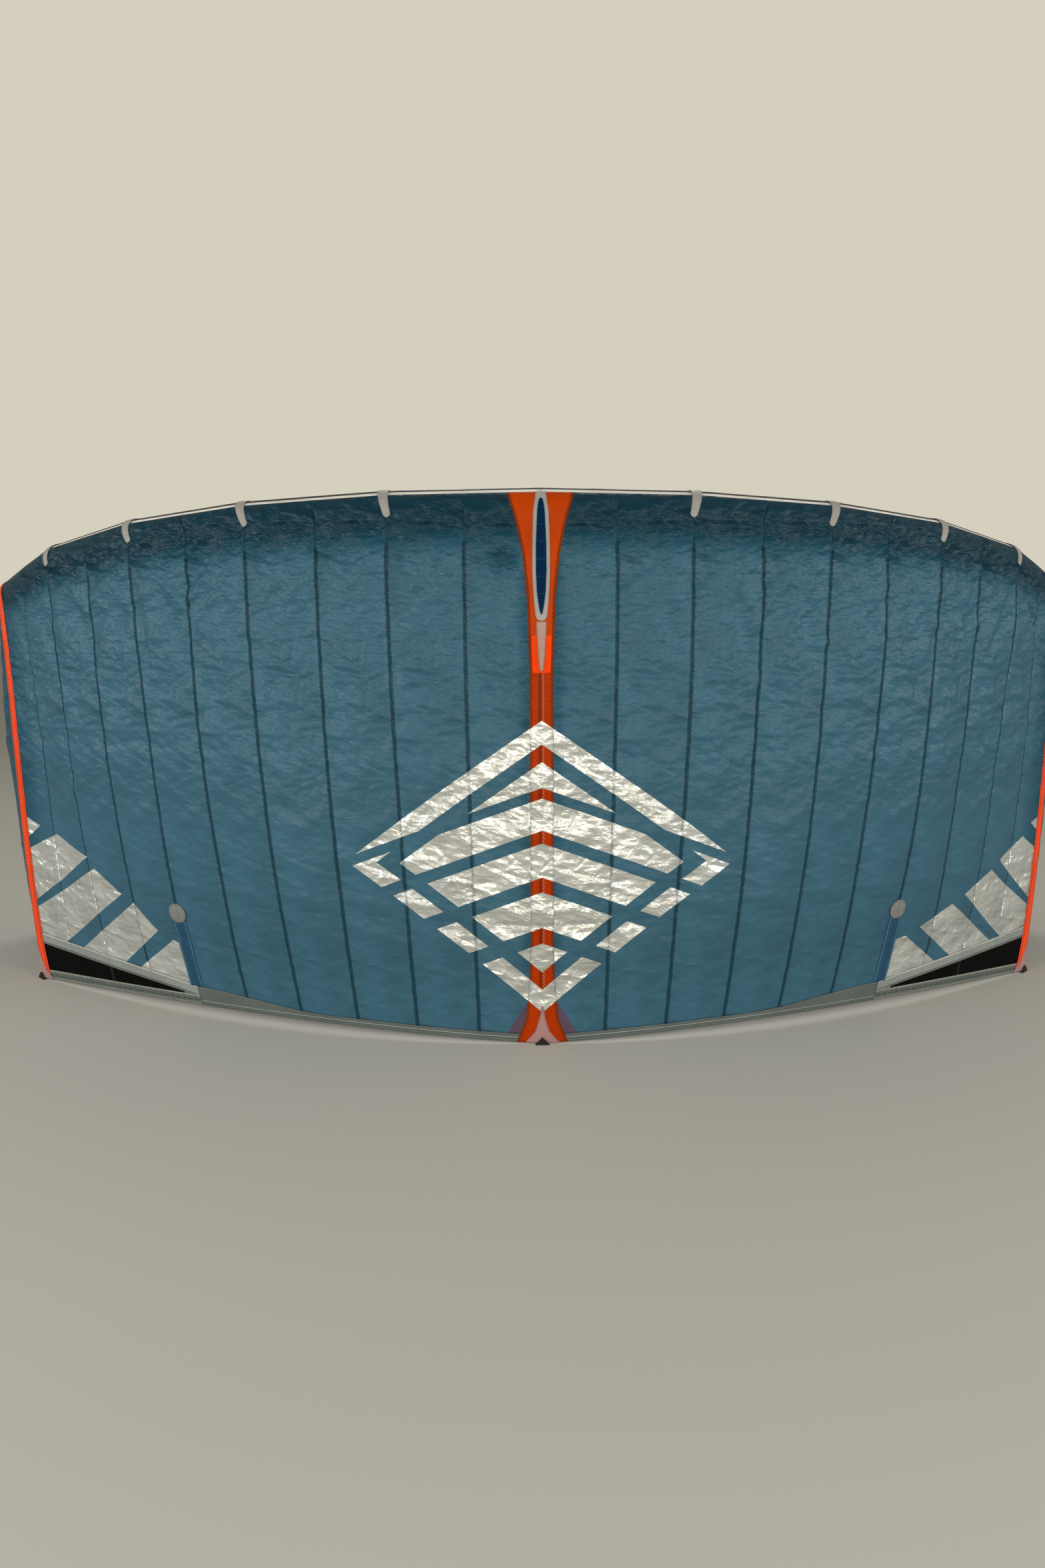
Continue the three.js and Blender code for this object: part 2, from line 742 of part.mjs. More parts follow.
function addFoot(place, seam, lift) {
  const top = qAtHeight(seam, footPatchHeight);
  const outline = [
    { q: qAtHeight(seam, 0.5), half: 52 },
    { q: top * 0.3, half: 22 },
    { q: top * 0.65, half: 9 },
    { q: top, half: 1.5 },
  ];
  addTrim(`foot_patch_${place}`, seam, outline, lift, colours.patch, rowsFor(outline));
  const hem = plainPoint(seam, 0);
  const heading = plainPoint(seam + 0.05, 0).sub(plainPoint(seam - 0.05, 0));
  const lean = Math.atan2(plainPoint(seam, 0.02).sub(hem).dot(
    new THREE.Vector3(heading.y, -heading.x, 0).normalize()), plainPoint(seam, 0.02).z - hem.z);
  const front = lift + trimThickness + trimGap + Math.max(Math.tan(lean), 0) * foot.height;
  const stand = new THREE.Group();
  stand.position.set(hem.x, hem.y, 0);
  stand.rotation.z = Math.atan2(heading.y, heading.x);
  kite.add(stand);
  const face = new THREE.Shape([
    new THREE.Vector2(-foot.width / 2, 0),
    new THREE.Vector2(foot.width / 2, 0),
    new THREE.Vector2(foot.width / 2, foot.sole),
    new THREE.Vector2(0, foot.height),
    new THREE.Vector2(-foot.width / 2, foot.sole),
  ]);
  const nose = new THREE.ExtrudeGeometry(face, { depth: foot.depth, bevelEnabled: false });
  nose.rotateX(90 * degree);
  nose.translate(0, -front, 0);
  const sole = new THREE.BoxGeometry(foot.width, foot.back + front + foot.depth / 2, foot.sole);
  sole.translate(0, (foot.back - front - foot.depth / 2) / 2, foot.sole / 2);
  const whole = toManifold(nose).add(toManifold(sole));
  addPiece(`foot_${place}`, fromManifold(whole), colours.foot, 0.6, stand);
}

addFoot("centre", 0, firstTrim);
addFoot("right", strutSeam, secondTrim);
addFoot("left", -strutSeam, secondTrim);

// The origin is under the middle of the whole kite
const box = new THREE.Box3().setFromObject(kite);
kite.position.set(0, -(box.min.y + box.max.y) / 2, -box.min.z);

export default kite;
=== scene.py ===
"""Looks of an inflated kitesurfing kite that stands on its trailing edge.

A place on the cloth is (u, q). u counts seams out from the middle, negative to the left: 0 is the
middle, 10 the side strut, 14 the tip. q is 0 at the trailing edge and 1 where the cloth meets the
leading edge tube, and each whole step past 1 goes 15 degrees further over the tube. Lengths of the
form are in millimetres and are turned to metres, in the row frame, when a mesh is made.
"""

import math

import bmesh
import bpy
import numpy as np
from bpy.props import FloatProperty, FloatVectorProperty, IntProperty, PointerProperty
from mathutils import Matrix, Vector


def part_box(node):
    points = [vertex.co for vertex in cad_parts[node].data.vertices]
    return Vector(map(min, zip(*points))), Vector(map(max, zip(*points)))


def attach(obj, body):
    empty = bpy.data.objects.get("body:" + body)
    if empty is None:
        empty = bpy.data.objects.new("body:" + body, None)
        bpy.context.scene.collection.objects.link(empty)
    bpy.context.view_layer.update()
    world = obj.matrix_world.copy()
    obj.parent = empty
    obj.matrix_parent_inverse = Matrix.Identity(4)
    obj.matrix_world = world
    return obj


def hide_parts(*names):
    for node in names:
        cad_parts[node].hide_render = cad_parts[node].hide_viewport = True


bl_info = {
    "name": "Kitesurfing kite",
    "version": (1, 0, 0),
    "blender": (4, 5, 0),
    "location": "3D View > Sidebar > Kite",
    "description": "Sews the cloth, tubes and prints of a kitesurfing kite round its packed frame",
    "category": "Object",
}

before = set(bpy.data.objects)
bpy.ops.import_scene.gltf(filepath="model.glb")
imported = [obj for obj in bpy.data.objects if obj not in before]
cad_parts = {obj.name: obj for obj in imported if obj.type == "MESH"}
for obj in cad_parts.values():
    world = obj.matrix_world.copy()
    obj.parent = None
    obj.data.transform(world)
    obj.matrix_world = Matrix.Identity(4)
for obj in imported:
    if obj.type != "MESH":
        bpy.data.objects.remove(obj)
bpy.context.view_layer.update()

# Plan of the leading edge and of the trailing edge
STRUT_SEAM = 10
TUBE_TOP = 1664
TUBE_SET_BACK = 312
TUBE_DROP = (198, 66)
EDGE_GORE = (240, 0.392)
HEM_GORE = (191, 0.05)
EDGE_HEADING = (-0.015, 0.822, -0.031)
HEM_HEADING = (0.06, 0.685, -0.212)
SEAM_SLANT = 0.5
HEM_CLEARANCE = 1.6
HEM_ARCH = 27
# Past the strut: step and heading of the tube, its fall, step and heading of the hem
TIP_SECTIONS = (
    (230, 64, 43, 150, 67),
    (230, 74, 53, 150, 75),
    (230, 83, 61, 150, 83),
    (215, 89, 65, 140, 89),
)
TIP_SEAM = STRUT_SEAM + len(TIP_SECTIONS)
TUBE_RADIUS = (95, 75, 48)
TUBE_END = 34
FACET = math.radians(15)
TUBE_GAP = 0.6
SEAM_GAP = 0.05
SKIN_EDGE = 4
FULLNESS = (0.11, 0.12)
FOOT_BACK = 16

# Lift of what is sewn on, over the skin's own back
FIRST_TRIM = 2.1
SECOND_TRIM = 3.9

# Soft folds: depth, turns across and up, phase
PILLOW = 5
FOLDS = ((3.4, 1.9, 5.2, 0.6), (2.6, -2.7, 8.6, 2.1), (1.8, 4.3, 3.1, 4.0))

# Hem and bands, heights up from the trailing edge
BATTEN_SEAM = 6
HEM_HEIGHT = (25, 63, 3.5)
LOWER_BAND = 33
UPPER_BAND = 31
DARK_PANEL = 104
DARK_AT_TIP = 0.2
# Share of a gore past the batten at which the dark panel starts
DARK_START = 1 / 3

# Half widths of the trims at places up the chord
STRIP = ((0, 78), (0.045, 50), (0.1, 40), (0.17, 35), (0.7, 36), (0.84, 43), (0.92, 56),
         (0.97, 72), (1, 84), (2, 92), (3, 98), (4, 102))
TEARDROP = ((0.795, 15), (0.81, 18), (0.835, 22), (0.87, 25.5), (0.91, 26.5), (0.96, 25.5), (1, 23),
            (2, 20), (3, 17), (4, 15))
LENS = ((0.807, 2.5), (0.825, 8), (0.85, 13), (0.89, 16), (0.94, 15.5), (1, 11.5), (2, 8.5), (2.7, 4))
TAIL = ((0.701, 4), (0.706, 6), (0.735, 10.5), (0.7942, 16))
SIDE_STRIP = ((0.003, 40), (0.03, 34), (0.1, 29), (0.5, 26), (0.9, 27), (1, 28), (2, 29), (4, 30))
TONGUE = ((0.993, 5), (0.9955, 9), (1, 11.5), (2, 13), (3, 14.5), (4, 15.5), (5, 16.5), (6, 17),
          (8, 17))
TONGUE_SEAMS = (2, 4, 6, 8)
POCKET = {"half": 25, "bottom": 66, "top": 285}
DISC = {"radius": 32, "height": 312}
STRUT = ((0.042, 11), (0.046, 19), (0.056, 26), (0.08, 30), (0.2, 34), (0.35, 38), (0.5, 41),
         (0.65, 44), (0.8, 46), (0.9, 47), (1, 47))
STRUT_CLEARANCE = 2.2
FOOT_PATCH_HEIGHT = 118
FOOT_PATCH = ((0.5 / FOOT_PATCH_HEIGHT, 52), (0.3, 22), (0.65, 9), (1, 1.5))

# Flat cloth: a seam's pitch, the chord and a facet over the tube, as nominal lengths
PITCH = 200
CHORD_LENGTH = 1650
FACET_LENGTH = 24
# Mean width of a gore along the tube and over the chord
GORE_AT_TUBE = 215
GORE_AT_CHORD = 190
# How near to a print's outline its faces are cut
CUT_REACH = 14
# Points nearer than this become one: on the flat cloth in millimetres, and in the scene in metres
FLAT_MERGE = 0.02
MERGE = 0.00005
# Puckers along each seam: height, pitch and how far they reach from it
SEAM_RIPPLE = {"height": 0.55, "pitch": 31, "reach": 15}
# Marks that each piece carries for its finish: distance from the sewn edge, way along the seam,
# painted shade where the tube or a strut stands behind the cloth, height over its foot and how crumpled it
# is
MARKS = ("edge", "run", "painted_shade", "rise", "crumple")

# Slanted silver bars low on each side, corners as (u, q)
BARS = {
    "left": (
        ((10.2, 0.43), (9.4, 0.389), (10.2, 0.34)),
        ((8.91, 0.368), (7.98, 0.315), (9.98, 0.194), (10.2, 0.2), (10.2, 0.32)),
        ((7.84, 0.289), (7.27, 0.234), (9.7, 0.06), (10.2, 0.06), (10.2, 0.165)),
        ((7.01, 0.217), (6.55, 0.16), (7.98, 0.04), (9.23, 0.05)),
        ((6.25, 0.143), (5.99, 0.129), (5.99, 0.03), (7.69, 0.03)),
    ),
    "right": (
        ((10.2, 0.42), (9.6, 0.385), (10.2, 0.34)),
        ((9.36, 0.351), (8.63, 0.295), (10.0, 0.179), (10.2, 0.19), (10.2, 0.3)),
        ((8.39, 0.272), (7.69, 0.219), (9.58, 0.06), (10.2, 0.06), (10.2, 0.15)),
        ((7.4, 0.2), (6.66, 0.156), (8.1, 0.04), (9.38, 0.05)),
        ((6.36, 0.14), (5.99, 0.131), (5.99, 0.03), (7.75, 0.03)),
    ),
}

# Silver lozenge with chevrons in the middle: centre and half sizes as (u, q), painted in order
LOZENGE = {"centre": 0.335, "wide": 2.85, "tall": 0.275}
LOZENGE_RINGS = ((1.0, "silver"), (0.84, "cloth"), (0.72, "silver"))
CHEVRONS = ((0.485, 0.02), (0.405, 0.024), (0.317, 0.028), (0.222, 0.03))
CHEVRON_SLOPE = 0.05

# Creases: how many, half length, width and height in millimetres, and how they crowd upwards
LONG_CREASES = (90, (190, 420), (14, 30), (2.6, 6.8), 1.2)
MEDIUM_CREASES = (1100, (40, 140), (9, 17), (1.2, 4.2), 1.7)
FINE_CREASES = (3000, (18, 60), (6, 9), (0.6, 1.7), 1.3)
# Shares of them that lie level, slanted and upright
CREASE_SHARES = (0.42, 0.4, 0.18)
# Creases that fan out below each tongue, the turn of the outermost and how far off they start
FAN_CREASES = (9, (130, 290), (10, 17), (3.6, 8.0))
FAN_SPREAD = 0.95
FAN_START = (5, 40)


def unit(v):
    return v / np.linalg.norm(v, axis=-1, keepdims=True)


def smooth(value, low, high):
    """A share that rises gently from 0 at low to 1 at high."""
    share = np.clip((value - low) / (high - low), 0, 1)
    return share * share * (3 - 2 * share)


def radius_at(seam):
    middle, strut, tip = TUBE_RADIUS
    if seam <= STRUT_SEAM:
        return middle + (strut - middle) * seam / STRUT_SEAM
    return strut + (tip - strut) * (seam - STRUT_SEAM) / len(TIP_SECTIONS)


def step_out(step, turn, rise=0):
    return np.array((math.cos(turn) * step, math.sin(turn) * step, rise))


def turn_at(heading, middle):
    start, linear, cubic = heading
    return start + linear * middle + cubic * middle**3


def seam_lines():
    """The tube's axis and the trailing edge at each whole u from the middle to the tip."""
    tops = [np.array((0, TUBE_SET_BACK, TUBE_TOP), float)]
    hems = [np.array((0, 0, HEM_CLEARANCE), float)]
    for seam in range(1, STRUT_SEAM + 1):
        middle, part = (seam - 0.5) / STRUT_SEAM, seam / STRUT_SEAM
        rise = TUBE_TOP - TUBE_DROP[0] * part**2 - TUBE_DROP[1] * part**4 - tops[-1][2]
        width = EDGE_GORE[0] * (1 - EDGE_GORE[1] * middle**2)
        level = math.sqrt(width**2 - rise**2)
        tops.append(tops[-1] + step_out(level, turn_at(EDGE_HEADING, middle), rise))
        width = HEM_GORE[0] * (1 - HEM_GORE[1] * middle**2)
        hem = hems[-1] + step_out(width, turn_at(HEM_HEADING, middle))
        hem[2] = HEM_CLEARANCE + HEM_ARCH * math.sin(math.pi * part)
        hems.append(hem)
    for edge_step, edge_turn, fall, hem_step, hem_turn in TIP_SECTIONS:
        drop = math.radians(fall)
        level = edge_step * math.cos(drop)
        tops.append(tops[-1] + step_out(level, math.radians(edge_turn), -edge_step * math.sin(drop)))
        hem = hems[-1] + step_out(hem_step, math.radians(hem_turn))
        hem[2] = HEM_CLEARANCE
        hems.append(hem)
    for seam in range(1, STRUT_SEAM, 2):
        tops[seam] = (tops[seam - 1] + tops[seam + 1]) / 2
    axis = np.array(tops)
    axis[:, 2] -= [radius_at(seam) for seam in range(TIP_SEAM + 1)]
    return axis, np.array(hems)


axis_line, hem_line = seam_lines()
tube_steps = unit(np.diff(axis_line, axis=0))
along = unit(np.vstack([tube_steps[:1], tube_steps]) + np.vstack([tube_steps, tube_steps[-1:]]))
along[0] = (1, 0, 0)
chord_length = np.linalg.norm(axis_line - hem_line, axis=1)
chord = unit(axis_line - hem_line)
outward = unit(np.cross(along, chord))
upward_of_tube = np.cross(outward, along)
bow = np.sin(np.pi * np.minimum(np.arange(TIP_SEAM + 1) / STRUT_SEAM, 1))
lean = FULLNESS[0] + FULLNESS[1] * bow**2
tube_radius = np.array([radius_at(seam) for seam in range(TIP_SEAM + 1)])
slant = SEAM_SLANT * bow * tube_radius
row_shift = np.array((0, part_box("foot_centre")[1].y * 1000 - FOOT_BACK, 0))


def around_tube(seam, angle, radius):
    """Points round the tube at whole seams: angle 0 is its top and 90 degrees its front."""
    return (axis_line[seam]
            + upward_of_tube[seam] * (radius * np.cos(angle))[..., None]
            + outward[seam] * (radius * np.sin(angle))[..., None]
            - along[seam] * (slant[seam] * (1 - np.cos(angle)))[..., None])


def section(seam, q):
    """Points of the plain form at whole seams, under and over the tube's front."""
    radius = tube_radius[seam] + TUBE_GAP
    over = around_tube(seam, math.pi / 2 - FACET * (np.maximum(q, 1) - 1), radius)
    low = np.clip(q, 0, 1)
    touch = around_tube(seam, np.full_like(low, math.pi / 2), radius)
    tilt = lean[seam][..., None]
    leaving = chord[seam] * np.cos(tilt) + outward[seam] * np.sin(tilt)
    reach = chord_length[seam][..., None]
    line, square, cube = low[..., None], (low**2)[..., None], (low**3)[..., None]
    under = (hem_line[seam] * (2 * cube - 3 * square + 1)
             + leaving * reach * (cube - 2 * square + line)
             + touch * (3 * square - 2 * cube)
             + upward_of_tube[seam] * reach * (cube - square))
    return np.where((q > 1)[..., None], over, under)


def between_seams(u, function):
    """Straight from one seam to the next, and mirrored for the left side."""
    distance = np.minimum(np.abs(u), TIP_SEAM - 1e-9)
    seam = distance.astype(int)
    share = (distance - seam)[..., None]
    point = function(seam) * (1 - share) + function(seam + 1) * share
    point[..., 0] *= np.where(u < 0, -1, 1)
    return point


def plain(u, q):
    """Points of the form without its folds, in millimetres."""
    u, q = np.broadcast_arrays(np.asarray(u, float), np.asarray(q, float))
    return between_seams(u, lambda seam: section(seam, q))


def normal_of(u, q):
    across, upward = 0.02, np.where(q >= 1, 0.02, 0.004)
    span = plain(np.minimum(u + across, TIP_SEAM), q) - plain(np.maximum(u - across, -TIP_SEAM), q)
    return unit(np.cross(span, plain(u, q + upward) - plain(u, np.maximum(q - upward, 0))))


def unit_width(u, q):
    """Millimetres of cloth in one step of u."""
    return np.linalg.norm(plain(u + 0.25, q) - plain(u - 0.25, q), axis=-1) * 2


def length_at(u):
    return np.interp(np.abs(u), np.arange(TIP_SEAM + 1), chord_length)


def height_of(u, q):
    """Millimetres of cloth from the trailing edge up to (u, q)."""
    over = FACET * np.interp(np.abs(u), np.arange(TIP_SEAM + 1), tube_radius)
    return np.minimum(q, 1) * length_at(u) + np.maximum(q - 1, 0) * over


def no_height(u):
    return np.zeros_like(u)


def flat_y(q):
    return CHORD_LENGTH * np.minimum(q, 1) + FACET_LENGTH * np.maximum(q - 1, 0)


def flat_q(y):
    return np.minimum(y / CHORD_LENGTH, 1) + np.maximum(y - CHORD_LENGTH, 0) / FACET_LENGTH


def half_at(outline, q):
    return np.interp(q, [row[0] for row in outline], [row[1] for row in outline])


def lay_creases():
    """Random creases on the flat cloth: centre, direction, half length, width, height and bend."""
    rng = np.random.default_rng(23)
    reach = TIP_SEAM * PITCH

    def scatter(count, halves, widths, heights, crowd):
        x = rng.uniform(-reach, reach, count)
        y = CHORD_LENGTH * (1 - rng.uniform(0, 1, count) ** crowd)
        kind = rng.choice((0, 1, 2), count, p=CREASE_SHARES)
        level = rng.normal(0, 0.24, count)
        slanted = rng.choice((-1, 1), count) * rng.uniform(0.45, 1.1, count)
        upright = rng.normal(math.pi / 2, 0.2, count)
        turn = np.choose(kind, (level, slanted, upright))
        return np.stack([x, y, turn, rng.uniform(*halves, count), rng.uniform(*widths, count),
                         rng.uniform(*heights, count) * rng.choice((-1, 1), count),
                         rng.uniform(-0.18, 0.18, count)], axis=1)

    count, halves, widths, heights = FAN_CREASES
    fans = []
    for seam in TONGUE_SEAMS:
        for side in (-1, 1):
            spread = np.linspace(-FAN_SPREAD, FAN_SPREAD, count)
            turn = -math.pi / 2 + spread + rng.normal(0, 0.09, count)
            half = rng.uniform(*halves, count)
            out = half + rng.uniform(*FAN_START, count)
            lift = rng.uniform(*heights, count) * rng.choice((-1, 1, 1), count)
            fans.append(np.stack([side * seam * PITCH + np.cos(turn) * out,
                                  CHORD_LENGTH - 20 + np.sin(turn) * out, turn, half,
                                  rng.uniform(*widths, count), lift,
                                  rng.uniform(-0.1, 0.1, count)], axis=1))
    return np.vstack([scatter(*LONG_CREASES), scatter(*MEDIUM_CREASES), scatter(*FINE_CREASES), *fans])


creases = lay_creases()


def crease_height(u, q):
    """Summed height of the creases, each a soft ridge that fades to its ends."""
    x, y = u * PITCH, flat_y(q)
    height = np.zeros_like(x)
    reach = creases[:, 3] + 5 * creases[:, 4]
    near = creases[(creases[:, 0] + reach > x.min()) & (creases[:, 0] - reach < x.max())
                   & (creases[:, 1] + reach > y.min()) & (creases[:, 1] - reach < y.max())]
    for cx, cy, turn, half, width, lift, bend in near:
        far = half + 5 * width
        close = np.flatnonzero((np.abs(x - cx) < far) & (np.abs(y - cy) < far))
        dx, dy = x[close] - cx, y[close] - cy
        length = (dx * math.cos(turn) + dy * math.sin(turn)) / half
        off = dy * math.cos(turn) - dx * math.sin(turn) - bend * half * length**2
        fade = np.clip(1 - length**2, 0, 1) ** 2
        height[close] += lift * fade * np.exp(-(np.sqrt(off**2 + 2.25) - 1.5) / width)
    return height


def relief(u, q, depth):
    """Height of the pillows, folds, creases and seam puckers over the plain form."""
    distance = np.abs(u)
    off_strut = np.minimum(distance, np.abs(STRUT_SEAM - distance))
    ends = smooth(q, 0.08, 0.3) * (1 - smooth(q, 0.8, 0.98))
    soft = PILLOW * np.sin(np.pi * (distance % 1))
    for height, across, upward, phase in FOLDS:
        soft = soft + height * np.sin(across * u + upward * q + phase)
    soft = soft * ends * smooth(off_strut, 0.45, 1.4)
    rough = 0.42 + 0.58 * smooth(q, 0.3, 0.78)
    held = (0.25 + 0.75 * smooth(off_strut, 0.1, 0.5)) * (0.2 + 0.8 * smooth(q, 0.02, 0.09))
    fine = crease_height(u, q) * rough * held * depth
    from_seam = np.abs(u - np.round(u)) * GORE_AT_CHORD
    seam_phase = np.round(u) * 1.7
    turns = 2 * np.pi * height_of(u, q) / SEAM_RIPPLE["pitch"]
    ripple = np.sin(turns + seam_phase + 2 * np.sin(q * 23 + seam_phase))
    near_seam = np.exp(-from_seam / SEAM_RIPPLE["reach"]) * smooth(q, 0.05, 0.12)
    fine = fine + SEAM_RIPPLE["height"] * ripple * near_seam * held
    over_tube = smooth(q, 0.975, 1.0)
    return soft + np.where(over_tube > 0, fine * (1 - over_tube) + np.abs(fine) * 0.35 * over_tube, fine)


def cloth_points(u, q, lift, depth):
    """Points in metres, in the row frame."""
    rise = (relief(u, q, depth) + lift)[..., None]
    return (plain(u, q) + normal_of(u, q) * rise + row_shift) / 1000


def cut_to(outline_points):
    return [Vector((u * PITCH, flat_y(q), 0)) for u, q in outline_points]


def lozenge_outlines():
    """Outlines of the middle print, painted in order, each as (finish, corners)."""
    wide, tall, centre = LOZENGE["wide"], LOZENGE["tall"], LOZENGE["centre"]
    painted = [(finish, ((wide * size, centre), (0, centre + tall * size), (-wide * size, centre),
                         (0, centre - tall * size))) for size, finish in LOZENGE_RINGS]
    for top, width in CHEVRONS:
        for hand in (-1, 1):
            painted.append(("cloth", ((0, top), (hand * wide, top - CHEVRON_SLOPE * wide),
                                      (hand * wide, top - width - CHEVRON_SLOPE * wide),
                                      (0, top - width))))
    return painted


def gore_outlines(side):
    """The prints of one side's gores: the lozenge, the bars and the purple darts at its foot."""
    sign = -1 if side == "left" else 1
    painted = lozenge_outlines()
    for bar in BARS[side]:
        painted.append(("silver", tuple((sign * u, q) for u, q in bar)))
    for hand in (-1, 1):
        painted.append(("purple", ((hand * 0.1, 0.105), (hand * 0.57, 0.012), (hand * 0.1, 0.0))))
    return painted


def inside(x, y, corners):
    """True for the points within a closed outline."""
    found = np.zeros(len(x), bool)
    for index, corner in enumerate(corners):
        last = corners[index - 1]
        crosses = (corner.y > y) != (last.y > y)
        rise = corner.y - last.y if abs(corner.y - last.y) > 1e-9 else 1e-9
        found ^= crosses & (x < (corner.x - last.x) * (y - last.y) / rise + last.x)
    return found


def paint(bm, finishes, outlines):
    """Cuts the flat cloth along each outline and gives the faces within it their finish."""
    bm.faces.ensure_lookup_table()
    lowest = min(v.co.x for v in bm.verts)
    highest = max(v.co.x for v in bm.verts)
    for finish, places in outlines:
        corners = cut_to(places)
        if max(c.x for c in corners) <= lowest or min(c.x for c in corners) >= highest:
            continue
        for index, end in enumerate(corners):
            start = corners[index - 1]
            run = end - start
            centres = np.array([f.calc_center_median() for f in bm.faces])[:, :2] - np.array(start[:2])
            direction = np.array(run[:2]) / run.length
            along_run = centres @ direction
            off_run = np.abs(centres @ np.array((-direction[1], direction[0])))
            close = (off_run < CUT_REACH) & (along_run > -CUT_REACH) & (along_run < run.length + CUT_REACH)
            faces = [bm.faces[i] for i in np.flatnonzero(close)]
            if not faces:
                continue
            edges = {edge for face in faces for edge in face.edges}
            verts = {vert for face in faces for vert in face.verts}
            bmesh.ops.bisect_plane(bm, geom=[*verts, *edges, *faces], dist=FLAT_MERGE / 2,
                                   plane_co=start, plane_no=Vector((-direction[1], direction[0], 0)))
            bm.faces.ensure_lookup_table()
        centres = np.array([f.calc_center_median() for f in bm.faces])
        chosen = 0 if finish == "cloth" else finishes.index(finish)
        for i in np.flatnonzero(inside(centres[:, 0], centres[:, 1], corners)):
            bm.faces[i].material_index = chosen


def flat_size(place):
    """Width, length and area in metres of the flat piece of cloth that place() covers."""
    least_share = 0.301
    across, upward = np.meshgrid(np.linspace(0, 1, 9), np.linspace(0, 1, 61))
    points = plain(*place(across, upward)) / 1000
    rows = np.linalg.norm(np.diff(points, axis=1), axis=-1)
    columns = np.linalg.norm(np.diff(points, axis=0), axis=-1)
    width, length = rows.sum(axis=1).max(), columns.sum(axis=0).max()
    diagonals = points[1:, 1:] - points[:-1, :-1], points[1:, :-1] - points[:-1, 1:]
    area = np.linalg.norm(np.cross(*diagonals), axis=-1).sum() / 2
    return float(width), float(length), float(np.clip(area, least_share * width * length, width * length))


def make_piece(name, bm, finishes=()):
    """Turns a bmesh into an object in the scene, with the materials of its finishes."""
    mesh = bpy.data.meshes.new(name)
    bm.to_mesh(mesh)
    bm.free()
    for finish in finishes:
        mesh.materials.append(woven(finish))
    piece = bpy.data.objects.new(name, mesh)
    bpy.context.collection.objects.link(piece)
    return piece


def sew(node, place, grid, lift, finishes, margins, outlines=(), foot=no_height):
    sizes = bpy.context.scene.kite_sizes
    bm = bmesh.new()
    bmesh.ops.create_grid(bm, x_segments=grid[0], y_segments=grid[1], size=0.5)
    square = np.array([v.co for v in bm.verts])
    u, q = place(square[:, 0] + 0.5, square[:, 1] + 0.5)
    for vert, x, y in zip(bm.verts, u * PITCH, flat_y(q)):
        vert.co = (x, y, 0)
    bmesh.ops.remove_doubles(bm, verts=bm.verts, dist=FLAT_MERGE)
    paint(bm, list(finishes), outlines)
    piece = make_piece(f"{node}_cloth", bm, finishes.values())
    mesh = piece.data
    flat = np.empty(len(mesh.vertices) * 3, np.float32)
    mesh.vertices.foreach_get("co", flat)
    flat = flat.reshape(-1, 3).astype(float)
    u, q = flat[:, 0] / PITCH, flat_q(flat[:, 1])
    points = cloth_points(u, q, lift, sizes.crease_depth)
    mesh.vertices.foreach_set("co", points.astype(np.float32).ravel())
    edge, run, side_way = margins(u, q)
    values = edge, run, painted_shade_from_behind(u, q), height_of(u, q) - foot(u), crumple(q)
    for key, value in zip(MARKS, values):
        mesh.attributes.new(key, "FLOAT", "POINT").data.foreach_set("value", value.astype(np.float32))
    weave = np.stack([side_way, height_of(u, q)], axis=1) / 1000
    corners = np.empty(len(mesh.loops), np.int32)
    mesh.loops.foreach_get("vertex_index", corners)
    mesh.uv_layers.new(name="cloth").data.foreach_set("uv", weave[corners].astype(np.float32).ravel())
    mesh.polygons.foreach_set("use_smooth", np.ones(len(mesh.polygons), bool))
    mesh.update()
    wall = piece.modifiers.new("cloth thickness", "SOLIDIFY")
    wall.thickness = sizes.cloth_thickness
    wall.offset = 1
    width, length, area = flat_size(place)
    hang(piece, node)


def hang(piece, node):
    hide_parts(node)
    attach(piece, "root")


def painted_shade_from_behind(u, q):
    """Painted shade: how much darker the thin cloth is drawn where the tube, the struts and the middle
    strut's joint stand behind it and hold back the light through it.
    """
    tube = smooth(q, 0.905, 0.985)
    from_middle = np.abs(u) * GORE_AT_TUBE
    strut = 0.42 * (1 - smooth(from_middle, 40, 80)) * (1 - smooth(q, 0.86, 0.95)) * smooth(q, 0.1, 0.2)
    joint = 0.85 * np.exp(-((u + 0.5) / 0.24) ** 2 - ((q - 0.918) / 0.03) ** 2)
    side = 0.45 * (1 - smooth(STRUT_SEAM - np.abs(u), 0.15, 0.9)) * smooth(q, 0.12, 0.3)
    return np.maximum(np.maximum(tube, strut), np.maximum(joint, side))


def crumple(q):
    """How much the fine crinkles of the cloth stand up: most below the tube, least near the hem."""
    return 0.42 + 0.58 * smooth(q, 0.3, 0.75) + 0.45 * smooth(q, 0.82, 0.93)


# Outlines of the cut pieces: place() turns shares across and up a grid into (u, q)


def dark_height(u):
    distance = np.abs(u)
    past = np.clip((distance - BATTEN_SEAM) / (STRUT_SEAM - BATTEN_SEAM), 0, 1) ** 0.87
    at_tip = np.clip((distance - STRUT_SEAM) / len(TIP_SECTIONS), 0, 1)
    return DARK_PANEL * past * (1 - (1 - DARK_AT_TIP) * at_tip)


def hem_top(u):
    middle, batten, start = HEM_HEIGHT
    return middle + (batten - middle) * smooth(np.abs(u), start, BATTEN_SEAM)


def gore_bottom(u):
    banded = LOWER_BAND + dark_height(u) + UPPER_BAND
    return np.where(np.abs(u) <= BATTEN_SEAM + 1e-6, hem_top(u), banded)


def strip_edge(q, gap):
    """Where the centre strip ends, in u, with a gap in millimetres."""
    return (half_at(STRIP, q) + gap) / unit_width(np.zeros_like(q), q)


